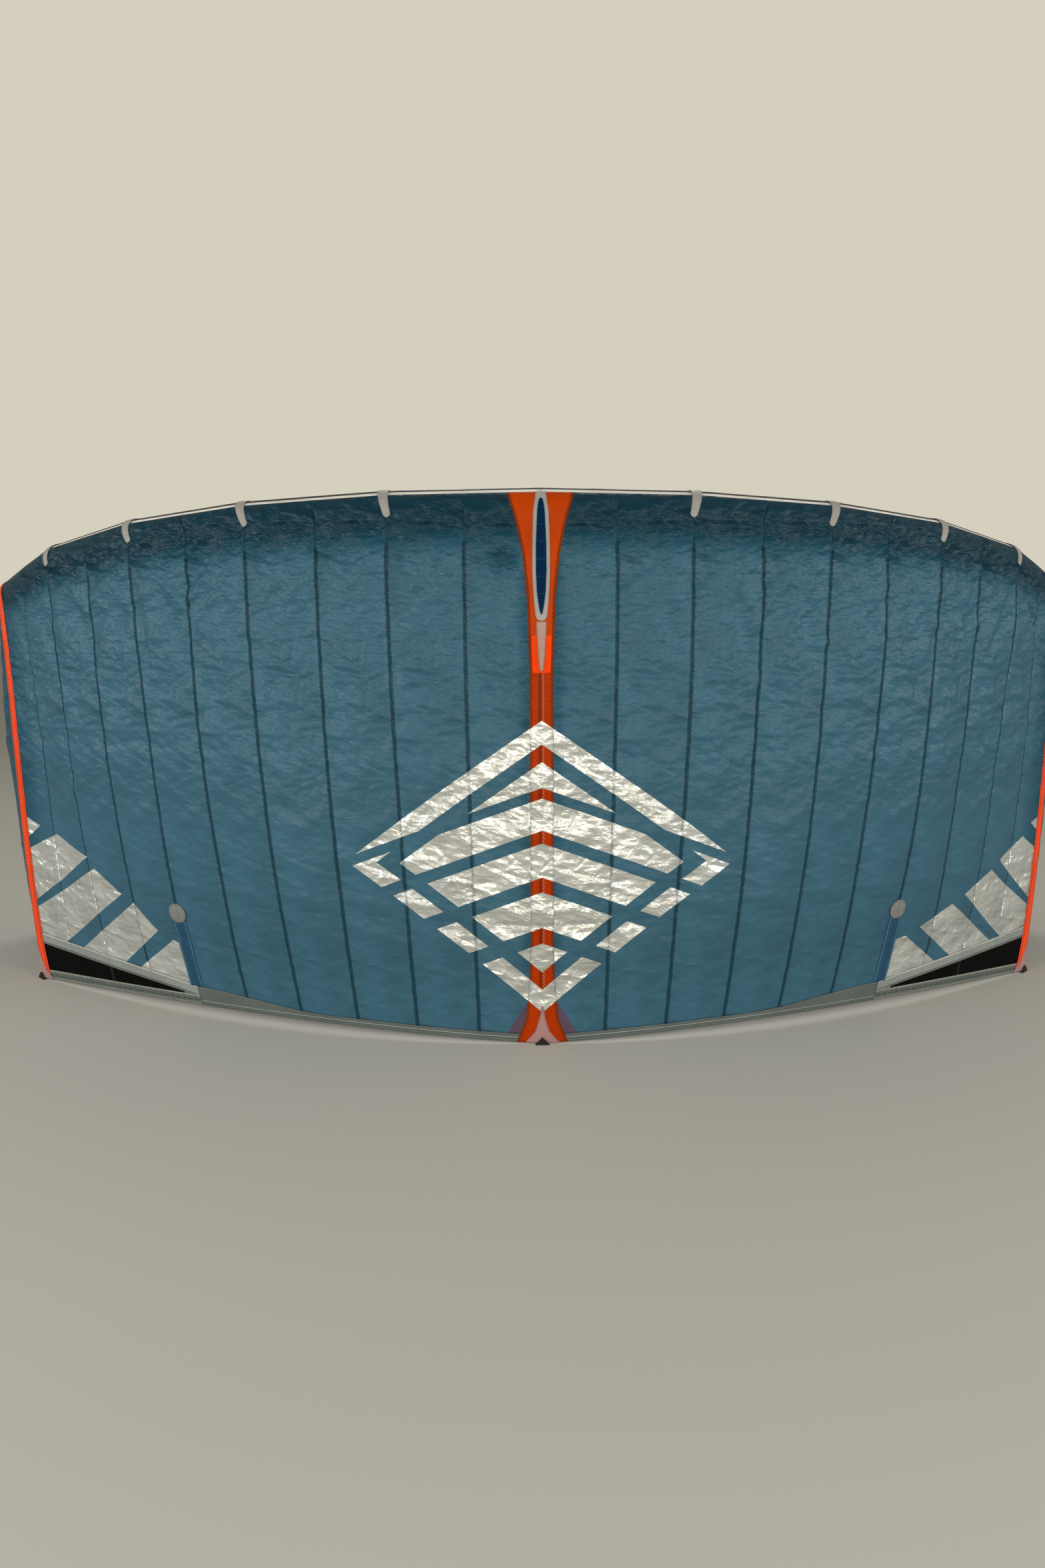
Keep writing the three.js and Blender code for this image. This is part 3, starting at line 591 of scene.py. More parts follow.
def gore_place(low, high):
    def place(across, upward):
        rows_below = 0.955
        share = np.clip(upward / rows_below, 0, 1)
        column = low + (high - low) * across
        inner = np.clip(column, low + 1e-5, high - 1e-5)
        start = (gore_bottom(inner) + SEAM_GAP) / length_at(column)
        q = start + (1 - start) * share
        over = 1 + (SKIN_EDGE - 1) * (upward - rows_below) / (1 - rows_below)
        q = np.where(upward > rows_below, over, q)
        gap = SEAM_GAP / unit_width(column, q)
        if min(abs(low), abs(high)) > 0:
            return low + gap + (high - low - 2 * gap) * across, q
        hand = math.copysign(1, low + high)
        near, far = strip_edge(q, 2 * SEAM_GAP), 1 - gap
        share = np.abs(column)
        return hand * (near + (far - near) * share), q
    return place


def gore_margins(low, high):
    def margins(u, q):
        width = unit_width(u, q)
        narrower = 4 * smooth(np.abs(np.round(u)), 6.5, 8.5)
        edge = np.where(np.abs(u) < 0.5, 999, np.abs(u - np.round(u)) * width + narrower)
        return edge, height_of(u, q), (u - (low + high) / 2) * width
    return margins


def band_place(low, high, bottom, top):
    def place(across, upward):
        gap = SEAM_GAP / PITCH
        u = low + gap + (high - low - 2 * gap) * across
        height = bottom(u) + SEAM_GAP + (top(u) - bottom(u) - 2 * SEAM_GAP) * upward
        return u, np.maximum(height, 0) / length_at(u)
    return place


def band_margins(top):
    def margins(u, q):
        height = height_of(u, q)
        return np.maximum(top(u) - height, 0), u * PITCH, u * PITCH
    return margins


def hem_place(hand):
    def place(across, upward):
        column = BATTEN_SEAM * (across if hand > 0 else 1 - across)
        height = SEAM_GAP + (hem_top(column) - 2 * SEAM_GAP) * upward
        q = height / length_at(column)
        near = strip_edge(q, 2 * SEAM_GAP)
        u = np.where(column < 1, near + (1 - near) * column, np.minimum(column, BATTEN_SEAM - 0.002))
        return hand * u, q
    return place


def trim_place(seam, outline, round_end=0):
    low, high = flat_y(outline[0][0]), flat_y(outline[-1][0])

    def place(across, upward):
        y = low + (high - low) * upward
        q = flat_q(y)
        half = half_at(outline, q)
        if round_end:
            rise = np.clip(y - low, 0, round_end)
            half = half * np.sqrt(np.maximum(1 - (1 - rise / round_end) ** 2, 0))
        return seam + (across * 2 - 1) * half / unit_width(np.full_like(q, seam), q), q
    return place


def trim_margins(seam, outline):
    def margins(u, q):
        off = (u - seam) * unit_width(np.full_like(q, seam), q)
        return np.maximum(half_at(outline, q) - np.abs(off), 0), height_of(u, q), off
    return margins


# Finishes. Lines are drawn at distances in mm: "edge" is from the piece's sewn edge, "side" from
# its own middle, "up" from the foot of the kite, "rise" from the foot of a band, and "joint",
# "mid joint", "tick" and "across" from marks that repeat. In a finish, "shadow" and "deeper" say how
# dark and how deep a colour it takes as painted shade where a tube or strut stands behind it, "least" how
# crumpled it always is, "grid" how much the ripstop's cords lighten it and "weave" how far its threads
# stand up.

# Thread 0.3 mm thick at 3 mm a stitch is too fine to show, so zigzags are drawn 2 or 3 times as
# coarse, with this half width and soft edge
THREAD = 0.9
LINE_BLUR = 0.35
# Share of a dashed line that is left out
DASH_GAP = 0.3
# The ripstop's 5 mm grid is drawn at 11 mm, and this is half of it
RIPSTOP_HALF_STEP = 5.5
# How far from a cord's middle its top ends and its foot lies, and its height
CORD_WIDTH = (0.5, 1.3)
CORD_RISE = 0.05
# Sailcloth's weave of about 0.5 mm is drawn at 2.4 mm, as checks to the metre
WEAVE_CHECKS = 420
# Cloth varies slowly in brightness: noise scale in 1/m, and the darkest and lightest shares
WEAR = {"scale": 5, "darkest": 0.88, "lightest": 1.08}


def stripe(on, at, half, colour, raised=0, **limits):
    """A straight line on a cloth: its place, half width and colour, and how far it stands up."""
    return {"on": on, "at": at, "half": half, "colour": colour, "raised": raised, **limits}


def zigzag(on, at, half, swing, pitch, colour, raised=0.3, **limits):
    """A zigzag stitch, which swings out from its place once in each pitch."""
    return stripe(on, at, half, colour, raised, swing=swing, pitch=pitch, **limits)


def zone(on, above, under, colour):
    """A length of another colour between two heights."""
    return {"on": on, "above": above, "under": under, "colour": colour, "raised": 0}


# Marks that repeat over a piece: name, the measure they follow and half their step
REPEATS = (("joint", "side", 100), ("mid joint", "side", 200), ("tick", "side", 12.5),
           ("across", "up", 26))
SEAM_LINES = (
    stripe("edge", 0, 6.2, "#0b2c3a", below=0.5),
    zigzag("edge", 0.8, THREAD, 4.2, 11, "#275666"),
)
FINISHES = {
    # Nylon ripstop, woven and then coated with polyurethane: a soft sheen on crumpled facets
    "blue coated ripstop nylon": {
        "colour": "canopy", "rough": 0.42, "gloss": 0.18, "shadow": 0.29, "deeper": 1.3, "grid": 0.05,
        "crinkle": 1.6, "lines": SEAM_LINES,
    },
    # Silver ink screened on the same cloth: it catches the light on each facet like foil
    "silver ink on ripstop nylon": {
        "colour": "silver", "rough": 0.36, "metal": 0.66, "grid": 0.04, "crinkle": 1.3, "least": 0.85,
        "lines": (zigzag("edge", 0.8, THREAD, 4.2, 11, "#8f9493"),),
    },
    # Dark purple ink on the same cloth
    "purple ink on ripstop nylon": {
        "colour": "purple", "rough": 0.45, "grid": 0.05, "crinkle": 0.8, "lines": (),
    },
    # Orange ripstop joined from three lengths, with dark zigzag tapes down both edges
    "orange coated ripstop nylon": {
        "colour": "orange", "rough": 0.5, "gloss": 0.06, "shadow": 0.9, "grid": 0.06, "crinkle": 0.5,
        "lines": (
            zone("up", 1117, 1227, "#e84000"),
            zone("up", -9, 1117, "#a33000"),
            stripe("side", -5, 5, "#74280a", 0.3, lower=1117),
            zigzag("side", 2.5, 1.1, 4, 11, "#b9745a", lower=1117),
            stripe("edge", 0, 9, "#8c3408"),
            zigzag("edge", 1, 1.2, 6.5, 13, "#3d2014"),
        ),
    },
    # The same orange cloth folded over each side strut and stitched in dark thread
    "bright orange ripstop nylon": {
        "colour": "side", "rough": 0.42, "gloss": 0.3, "shadow": 1.0, "grid": 0.06, "crinkle": 0.4,
        "lines": (
            zigzag("edge", 3, 1.3, 6, 13, "#4a2318"),
            zigzag("side", -3, 1.3, 6, 13, "#5a2818"),
        ),
    },
    # Polyester sailcloth, tightly woven, heat set and resin finished: smooth, with a faint weave
    "white polyester sailcloth": {
        "colour": "tube", "rough": 0.55, "weave": 0.1, "crinkle": 0.25,
        "lines": (
            zigzag("edge", 2, THREAD, 5, 12, "#b9b6b0"),
            stripe("edge", 0, 0.9, "#8a8883", -0.6),
        ),
    },
    # A thinner sailcloth, a little duller, for the struts
    "pale grey polyester sailcloth": {
        "colour": "strut", "rough": 0.6, "weave": 0.1, "crinkle": 0.25, "lines": (),
    },
    # The same sailcloth dyed grey for the hem, with a casing for its line in the lower third
    "grey polyester sailcloth": {
        "colour": "hem", "rough": 0.58, "weave": 0.12, "crinkle": 0.35,
        "lines": (
            zigzag("edge", 1.2, 1.1, 5, 11, "#57605b"),
            stripe("rise", 11, 1.3, "#4b5455", -0.6),
            stripe("rise", 14, 0.9, "#9fa8a7", 0.4),
            stripe("joint", 0, 1.0, "#59625f", -0.5),
        ),
    },
    # A glossier, lighter roll of it over the dark panel
    "light grey polyester sailcloth": {
        "colour": "band", "rough": 0.4, "weave": 0.1, "crinkle": 0.35,
        "lines": (
            zigzag("edge", 1.2, 1.1, 4, 11, "#d7d3c0"),
            stripe("joint", 0, 0.9, "#6c7373", -0.5),
        ),
    },
    # The grey sailcloth again for the lower band, with dashes where its casing is stitched through
    "edge grey polyester sailcloth": {
        "colour": "hem", "rough": 0.58, "weave": 0.12, "crinkle": 0.35,
        "lines": (
            zigzag("edge", 1, 1.1, 5, 10, "#b9b7a3"),
            zigzag("rise", 1, 1.1, 5, 10, "#a9a898"),
            stripe("rise", 15, 1.5, "#2b3132", -0.5, dash=14),
            stripe("tick", 0, 0.9, "#3c4344", -0.3),
        ),
    },
    # Black sailcloth: the resin leaves a low gloss that shows its puckers
    "black polyester sailcloth": {
        "colour": "dark", "rough": 0.55, "gloss": 0.06, "weave": 0.12, "crinkle": 0.6,
        "lines": (
            zigzag("edge", 1, 1.1, 5, 11, "#a8aca6"),
            zigzag("mid joint", 1, 1, 4, 11, "#4d4f4e"),
        ),
    },
    # Facing cloth as a round patch, sewn on with crossed lines that pucker it
    "pinkish grey facing cloth": {
        "colour": "disc", "rough": 0.5, "weave": 0.2, "crinkle": 0.8, "least": 1.0,
        "lines": (
            zigzag("edge", 1.5, 0.8, 2.4, 9, "#5f6468", 0.25),
            zigzag("side", 0, 1.0, 3, 12, "#5b6166", 0.25),
            stripe("rise", DISC["height"], 1.3, "#6b7074", 0.25),
        ),
    },
    # Thick facing cloth, cut with a hot knife and sewn down near its edge
    "grey facing cloth": {
        "colour": "facing", "rough": 0.5, "weave": 0.2, "crinkle": 0.2,
        "lines": (zigzag("edge", 1.2, 0.8, 2.4, 9, "#8d8b86", 0.25),),
    },
    # Deep blue printed cloth with a few faint lines across it
    "deep blue cloth": {
        "colour": "lens", "rough": 0.5, "gloss": 0.03, "weave": 0.1, "crinkle": 0.2,
        "lines": (
            stripe("across", 0, 1.0, "#0f3c5c"),
            stripe("edge", 0.2, 0.7, "#54636e", 0.2),
        ),
    },
    # Thin uncoated film cloth, through which the strut and the strip show pinkish
    "pinkish film cloth": {
        "colour": "tail", "rough": 0.45, "weave": 0.1, "crinkle": 0.3,
        "lines": (zigzag("edge", 0.8, 0.8, 2, 9, "#7c5a52", 0.2),),
    },
    # Polyester sailcloth dyed pink, smooth and a little worn, for the patches at the feet
    "pinkish patch cloth": {
        "colour": "patch", "rough": 0.45, "weave": 0.15, "crinkle": 0.4,
        "lines": (zigzag("edge", 1, 0.9, 3, 9, "#7e5555", 0.2),),
    },
    # Dark blue webbing cloth over each batten, stitched along both edges and its middle
    "dark blue pocket cloth": {
        "colour": "pocket", "rough": 0.5, "weave": 0.25, "crinkle": 0.35,
        "lines": (
            zigzag("edge", 2, THREAD, 4, 10, "#5d93b5"),
            stripe("side", 0, 1.0, "#0a2f4a", -0.6),
        ),
    },
    # Black self-adhesive tape over the tube's closing seam
    "black seam tape": {
        "colour": "dark", "rough": 0.5, "weave": 0.15, "crinkle": 0.3,
        "lines": (zigzag("edge", 1, 0.8, 2, 9, "#4b4b4b"),),
    },
    # Rubber-coated cloth, moulded thick where the kite stands on it
    "black rubber coated cloth": {
        "colour": "foot", "rough": 0.7, "weave": 0.3, "crinkle": 0.0, "lines": (),
    },
}


# Fine crinkles in the cloth's shading, as soft folds and flat facets with sharp edges: noise
# scale in 1/m, stretch along the fold, turn and depth
CRINKLES = (
    ("fold", 11, 2.4, 0.35, 9.0),
    ("fold", 13, 2.8, -0.5, 8.0),
    ("facet", 8, 2.0, 0.7, 9.0),
    ("facet", 15, 2.4, -0.35, 6.5),
    ("fold", 19, 2.2, 1.25, 5.0),
    ("facet", 29, 2.2, 0.15, 3.0),
    ("fold", 52, 1.8, -0.3, 2.4),
    ("facet", 60, 2.6, -0.1, 1.3),
)


def linear(colour):
    """A linear colour with full alpha from an sRGB hex value."""
    shares = [int(colour[place:place + 2], 16) / 255 for place in (1, 3, 5)]
    return (*[s / 12.92 if s <= 0.04045 else ((s + 0.055) / 1.055) ** 2.4 for s in shares], 1)


def add(tree, kind, inputs=(), **settings):
    """Adds a shader node with its settings, input values and links."""
    made = tree.nodes.new(f"ShaderNode{kind}")
    for key, value in settings.items():
        setattr(made, key, value)
    for key, value in dict(inputs).items():
        if isinstance(value, bpy.types.NodeSocket):
            tree.links.new(value, made.inputs[key])
        else:
            made.inputs[key].default_value = value
    return made


def maths(tree, operation, *values):
    """The output of a maths node that works on values and on other outputs."""
    return add(tree, "Math", dict(enumerate(values)), operation=operation).outputs[0]


def remap(tree, value, low, high, start, end):
    """A value between low and high, turned to one between start and end."""
    return add(tree, "MapRange", {"Value": value, "From Min": low, "From Max": high,
                                  "To Min": start, "To Max": end}).outputs[0]


def measures(tree):
    """Distances over the cloth in millimetres, by name."""
    found = {key: add(tree, "Attribute", attribute_name=key).outputs["Fac"] for key in MARKS}
    place = add(tree, "UVMap", uv_map="cloth").outputs["UV"]
    parts = add(tree, "SeparateXYZ", {0: place})
    for key, part in (("side", "X"), ("up", "Y")):
        found[key] = maths(tree, "MULTIPLY", parts.outputs[part], 1000)
    for key, source, half in REPEATS:
        found[key] = maths(tree, "PINGPONG", found[source], half)
    return found, place


def line_share(tree, found, line):
    """How far each point lies within a stitched line, a band or a zone, from 0 to 1."""
    if "above" in line:
        above = maths(tree, "GREATER_THAN", found[line["on"]], line["above"])
        under = maths(tree, "LESS_THAN", found[line["on"]], line["under"])
        return maths(tree, "MULTIPLY", above, under)
    centre = line["at"]
    if "swing" in line:
        half_pitch = line["pitch"] / 2
        turn = maths(tree, "PINGPONG", found["run"], half_pitch)
        centre = maths(tree, "MULTIPLY_ADD", turn, line["swing"] / half_pitch, line["at"])
    off = maths(tree, "ABSOLUTE", maths(tree, "SUBTRACT", found[line["on"]], centre))
    share = remap(tree, off, line["half"] - LINE_BLUR, line["half"] + LINE_BLUR, 1, 0)
    for key, source in (("below", "painted_shade"), ("lower", "up")):
        if key in line:
            within = maths(tree, "LESS_THAN", found[source], line[key])
            share = maths(tree, "MULTIPLY", share, within)
    if "dash" in line:
        turn = maths(tree, "PINGPONG", found["run"], line["dash"])
        drawn = maths(tree, "GREATER_THAN", turn, line["dash"] * DASH_GAP)
        share = maths(tree, "MULTIPLY", share, drawn)
    return share


def lined(tree, found, finish):
    """Colour and height of a cloth with its stitches, stripes and zones."""
    colour = add(tree, "RGB").outputs[0]
    colour.default_value = (*getattr(bpy.context.scene.kite_colours, finish["colour"]), 1)
    height = add(tree, "Value").outputs[0]
    height.default_value = 0
    for line in finish["lines"]:
        share = line_share(tree, found, line)
        colour = add(tree, "Mix", {0: share, 6: colour, 7: linear(line["colour"])},
                     data_type="RGBA").outputs[2]
        height = maths(tree, "MULTIPLY_ADD", share, line["raised"], height)
    return colour, height


def ripstop_cords(tree, found):
    """Where the thicker threads of the ripstop run, from 0 to 1."""
    cords = []
    for key in ("side", "up"):
        turn = maths(tree, "PINGPONG", found[key], RIPSTOP_HALF_STEP)
        cords.append(remap(tree, turn, *CORD_WIDTH, 1, 0))
    return maths(tree, "MAXIMUM", *cords)


def crinkles(tree, place, crinkle):
    """Height of the fine crinkles, where they stand up in full."""
    folds = add(tree, "Value").outputs[0]
    folds.default_value = 0
    for kind, scale, stretch, turn, depth in CRINKLES:
        flat = add(tree, "Mapping", {"Vector": place, "Rotation": (0, 0, turn), "Scale": (stretch, 1, 1)},
                   vector_type="TEXTURE").outputs[0]
        if kind == "facet":
            fold = add(tree, "TexVoronoi", {"Vector": flat, "Scale": scale},
                       voronoi_dimensions="2D").outputs["Distance"]
        else:
            noise = add(tree, "TexNoise", {"Vector": flat, "Scale": scale, "Detail": 1.5,
                                           "Roughness": 0.5, "Distortion": 0.3},
                        noise_dimensions="2D").outputs[0]
            fold = maths(tree, "ABSOLUTE", maths(tree, "SUBTRACT", noise, 0.5))
        folds = maths(tree, "MULTIPLY_ADD", fold, depth * crinkle, folds)
    return folds


def woven(name):
    """The material of a finish, made once."""
    if name in bpy.data.materials:
        return bpy.data.materials[name]
    finish = FINISHES[name]
    material = bpy.data.materials.new(name)
    material.use_nodes = True
    tree = material.node_tree
    tree.nodes.clear()
    found, place = measures(tree)
    colour, height = lined(tree, found, finish)
    worn = add(tree, "TexNoise", {"Vector": place, "Scale": WEAR["scale"], "Detail": 3,
                                  "Roughness": 0.6}, noise_dimensions="2D").outputs[0]
    shade = remap(tree, worn, 0.3, 0.7, WEAR["darkest"], WEAR["lightest"])
    # Painted shade: the colour is drawn darker where the tube or a strut stands behind the thin cloth, by
    # the finish's shadow share
    painted_shade = remap(tree, found["painted_shade"], 0, 1, 1, finish.get("shadow", 0.9))
    shade = maths(tree, "MULTIPLY", shade, painted_shade)
    if "grid" in finish:
        cords = ripstop_cords(tree, found)
        lighter = maths(tree, "MULTIPLY_ADD", cords, finish["grid"], 1)
        shade = maths(tree, "MULTIPLY", shade, lighter)
        height = maths(tree, "MULTIPLY_ADD", cords, CORD_RISE, height)
    else:
        threads = add(tree, "TexChecker", {"Vector": place, "Scale": WEAVE_CHECKS}).outputs[1]
        height = maths(tree, "MULTIPLY_ADD", threads, finish["weave"], height)
    strength = maths(tree, "MAXIMUM", found["crumple"], finish.get("least", 0))
    folds = crinkles(tree, place, finish["crinkle"])
    height = maths(tree, "MULTIPLY_ADD", folds, strength, height)
    # Painted shade also deepens the colour's saturation there, by the finish's deeper share
    deeper = remap(tree, found["painted_shade"], 0, 1, 1, finish.get("deeper", 1))
    colour = add(tree, "HueSaturation", {"Color": colour, "Saturation": deeper,
                                         "Value": shade}).outputs[0]
    bump = add(tree, "Bump", {"Strength": 1, "Distance": 0.001, "Height": height}).outputs[0]
    shader = add(tree, "BsdfPrincipled", {"Base Color": colour, "Roughness": finish["rough"],
                                          "Metallic": finish.get("metal", 0), "Normal": bump,
                                          "Specular IOR Level": finish.get("gloss", 0.4)})
    out = add(tree, "OutputMaterial")
    tree.links.new(shader.outputs[0], out.inputs[0])
    return material


def close_tube(node, columns, sides, shape, marks, finish):
    """A grid wrapped round into a closed tube, with its ends drawn to a point.

    marks() gives the marks, and then the ways across and along the cloth for its weave.
    """
    bm = bmesh.new()
    bmesh.ops.create_grid(bm, x_segments=columns, y_segments=sides, size=0.5)
    square = np.array([v.co for v in bm.verts])
    across, around = square[:, 0] + 0.5, square[:, 1] + 0.5
    points = shape(across, around)
    layers = [bm.verts.layers.float.new(key) for key in MARKS]
    values = marks(across, around)
    side_way, length_way = values[-2:]
    mapping = bm.loops.layers.uv.new("cloth")
    for face in bm.faces:
        face.smooth = True
        for loop in face.loops:
            place = loop.vert.index
            loop[mapping].uv = (side_way[place] / 1000, length_way[place] / 1000)
    for vert, point, *numbers in zip(bm.verts, (points + row_shift) / 1000, *values[:len(MARKS)]):
        vert.co = point
        for layer, number in zip(layers, numbers):
            vert[layer] = number
    bmesh.ops.remove_doubles(bm, verts=bm.verts, dist=MERGE)
    bmesh.ops.recalc_face_normals(bm, faces=bm.faces)
    piece = make_piece(f"{node}_tube", bm, [finish])
    hang(piece, node)


# The tube's grid: the kink at every second seam gathers the columns near it
TUBE_REACH = TIP_SEAM + 1
KINK_GATHER = 0.8
TUBE_COLUMNS = 300
TUBE_SIDES = 72
TUBE_MEAN_RADIUS = 85
# The cloth sinks in at each kink, and more in puckers: how many go round, how deep and how far
PUCKERS = {"round": 23, "deep": 2.2, "reach": 22}
KINK = {"deep": 1.2, "reach": 7}


def tube_column(across):
    straight = (across * 2 - 1) * TUBE_REACH
    return straight - KINK_GATHER / math.pi * np.sin(math.pi * straight)


def kink_distance(u):
    return np.abs(u - 2 * np.round(u / 2)) * GORE_AT_TUBE


def tube_shape(across, around):
    u = tube_column(across)
    angle = around * 2 * math.pi
    near = kink_distance(u)
    pucker = 0.5 + 0.5 * np.sin(angle * PUCKERS["round"] + np.round(u / 2) * 2.3)
    inner = 0.45 + 0.55 * smooth(-np.sin(angle), -0.2, 0.8)
    sink = -(PUCKERS["deep"] * pucker * np.exp(-near / PUCKERS["reach"])
             + KINK["deep"] * np.exp(-near / KINK["reach"])) * inner
    body = between_seams(u, lambda seam: around_tube(seam, angle, tube_radius[seam] + sink))
    sign = np.where(u < 0, -1, 1)[:, None] * np.array((1, 0, 0)) + np.array((0, 1, 1))
    turn = (np.clip(np.abs(u) - TIP_SEAM, 0, 1) * math.pi / 2)[:, None]
    centre = axis_line[-1] * sign
    ending = centre + (body - centre) * np.cos(turn) + along[-1] * sign * np.sin(turn) * TUBE_END
    return np.where(turn > 0, ending, body)


def tube_marks(across, around):
    u = tube_column(across)
    girth = around * 2 * math.pi * TUBE_MEAN_RADIUS
    return kink_distance(u), girth, no_height(u), girth, np.ones_like(u), u * GORE_AT_TUBE, girth


# A strut's grid, the radius and girth its marks are worked out from, and how much its rows
# gather towards the foot
STRUT_COLUMNS = 40
STRUT_LENGTHS = 130
STRUT_MEAN_RADIUS = 40
STRUT_GIRTH = 250
STRUT_GATHER = 1.8


def strut_q(around):
    return STRUT[0][0] + (1 - STRUT[0][0]) * around**STRUT_GATHER


def strut_shape(seam):
    def shape(across, around):
        q = strut_q(around)
        angle = across * 2 * math.pi
        u = np.full_like(q, seam)
        upward = unit(plain(u, np.minimum(q + 0.01, 1)) - plain(u, q - 0.01))
        normal = normal_of(u, np.minimum(q, 0.999))
        inward = unit(normal - (normal * upward).sum(axis=1, keepdims=True) * upward)
        sideways = np.cross(upward, inward)
        thickness = half_at(STRUT, q)
        radius = np.where((around < 1e-6) | (around > 1 - 1e-6), 0, thickness)[:, None]
        centre = plain(u, q) - inward * (thickness[:, None] + STRUT_CLEARANCE)
        return (centre + inward * radius * np.cos(angle)[:, None]
                + sideways * radius * np.sin(angle)[:, None])
    return shape


def strut_marks(across, around):
    length = strut_q(around) * CHORD_LENGTH
    girth = across * 2 * math.pi * STRUT_MEAN_RADIUS
    edge = np.minimum(girth, STRUT_GIRTH - girth)
    return edge, length, no_height(length), length, np.ones_like(length), girth, length


SIDES = (("right", 1), ("left", -1))
STRUTS = (("centre", 0), ("right", STRUT_SEAM), ("left", -STRUT_SEAM))


def on_side(sign, near, far):
    return (near, far) if sign > 0 else (-far, -near)


def lower_top(u):
    return np.full_like(u, LOWER_BAND)


def dark_top(u):
    return LOWER_BAND + dark_height(u)


def sew_trim(node, seam, outline, lift, finishes, grid, round_end=0, outlines=()):
    sew(node, trim_place(seam, outline, round_end), grid, lift, finishes,
        trim_margins(seam, outline), outlines)


def disc_place(seam):
    length = length_at(seam)
    width = unit_width(np.array([float(seam)]), np.array([DISC["height"] / length]))[0]

    def place(across, upward):
        x, y = across * 2 - 1, upward * 2 - 1
        round_x, round_y = x * np.sqrt(1 - y * y / 2), y * np.sqrt(1 - x * x / 2)
        return (seam + round_x * DISC["radius"] / width,
                (DISC["height"] + round_y * DISC["radius"]) / length)
    return place


def disc_margins(seam):
    def margins(u, q):
        off = (u - seam) * unit_width(u, q)
        up = height_of(u, q) - DISC["height"]
        return np.maximum(DISC["radius"] - np.hypot(off, up), 0), np.arctan2(up, off) * DISC["radius"], off
    return margins


# Facet of the tube over which the tape runs, and half its width in facets
TAPE = {"place": 5.55, "half": 0.65}


def tape_place(across, upward):
    u = (across * 2 - 1) * (TIP_SEAM - 0.002)
    return u, TAPE["place"] + (upward * 2 - 1) * TAPE["half"]


def tape_margins(u, q):
    off = np.abs(q - TAPE["place"])
    return (TAPE["half"] - off) * FACET_LENGTH, u * PITCH, u * PITCH


class KiteSizes(bpy.types.PropertyGroup):
    cloth_thickness: FloatProperty(
        name="Cloth thickness", description="Thickness of the sewn cloth as it is modelled",
        default=0.0012, min=0.0005, max=0.003, unit="LENGTH")
    crease_depth: FloatProperty(
        name="Crease depth", description="Depth of the cloth's creases as a share of the photo's",
        default=1, min=0, max=2, subtype="FACTOR")
    gore_rows: IntProperty(
        name="Rows of a gore", description="Rows of faces up each gore", default=248, min=64, max=512)


class KiteColours(bpy.types.PropertyGroup):
    pass


# Colours by name, as sRGB hex values, with what each is for
COLOURS = {
    "canopy": ("#345b6e", "Blue cloth of the gores and tips"),
    "silver": ("#c7cac6", "Silver print"),
    "purple": ("#4c3c50", "Purple print beside the foot of the middle strip"),
    "orange": ("#b43b00", "Middle strip"),
    "side": ("#e8420a", "Side strips"),
    "tube": ("#dad7d2", "Leading edge tube"),
    "strut": ("#b9b6b2", "Struts"),
    "hem": ("#58615d", "Hem and lower bands"),
    "band": ("#868e8a", "Upper bands"),
    "dark": ("#030303", "Dark panels and seam tape"),
    "facing": ("#9d9a96", "Teardrop facing and tongues"),
    "disc": ("#7b7a7a", "Round patches over the battens"),
    "lens": ("#002343", "Inner teardrop"),
    "tail": ("#a58478", "Tail of the teardrop"),
    "patch": ("#a07a78", "Foot patches"),
    "pocket": ("#0d4560", "Batten pockets"),
    "foot": ("#141414", "Feet"),
}
for colour_name, (hex_value, use) in COLOURS.items():
    KiteColours.__annotations__[colour_name] = FloatVectorProperty(
        name=colour_name.capitalize(), description=use, subtype="COLOR", size=3, min=0, max=1,
        default=linear(hex_value)[:3])


# Name, place, what it points at, size across, power and tint of each soft lamp
LAMPS = (
    ("left lamp", (-3.6, -4.1, 2.5), (0.2, -0.2, 0.7), 1.4, 92, "#ffffff"),
    ("right lamp", (3.6, -4.3, 2.5), (-0.2, -0.2, 0.7), 1.4, 78, "#ffffff"),
    ("front lamp", (0.2, -6.2, 2.9), (0, 0, 0.8), 1.6, 102, "#fff4e2"),
    ("far left lamp", (-5.2, -1.2, 2.6), (-0.6, 0, 0.7), 1.5, 56, "#ffffff"),
    ("far right lamp", (5.2, -1.4, 2.6), (0.6, 0, 0.7), 1.5, 54, "#ffffff"),
    ("back lamp", (0.3, 4.5, 4.2), (0, 0, 0.6), 3.0, 100, "#ffffff"),
)
# Colour of the studio air, its brightness as the camera sees it, and as it lights the kite
AIR = {"colour": "#f0ead6", "seen": 0.765, "light": 0.42}
FLOOR = {"colour": "#a6a59f", "rough": 0.7, "half": 40}
# Place and lens worked out from the photo, with the directions of the picture's sides
CAMERA = {
    "place": (-0.1145088, -4.0961508, 1.382),
    "right": (0.9998593, -0.0167206, -0.00133863),
    "up": (0.00419015, 0.17169406, 0.98514141),
    "lens": 26.648,
    "sensor": 36,
}


def lay_floor():
    bm = bmesh.new()
    bmesh.ops.create_grid(bm, x_segments=1, y_segments=1, size=FLOOR["half"])
    floor = make_piece("floor", bm)
    # Matt floor paint, rolled on concrete: too rough for a lamp to show in it
    material = bpy.data.materials.new("pale floor paint")
    material.use_nodes = True
    shader = material.node_tree.nodes["Principled BSDF"]
    shader.inputs["Base Color"].default_value = linear(FLOOR["colour"])
    shader.inputs["Roughness"].default_value = FLOOR["rough"]
    floor.data.materials.append(material)


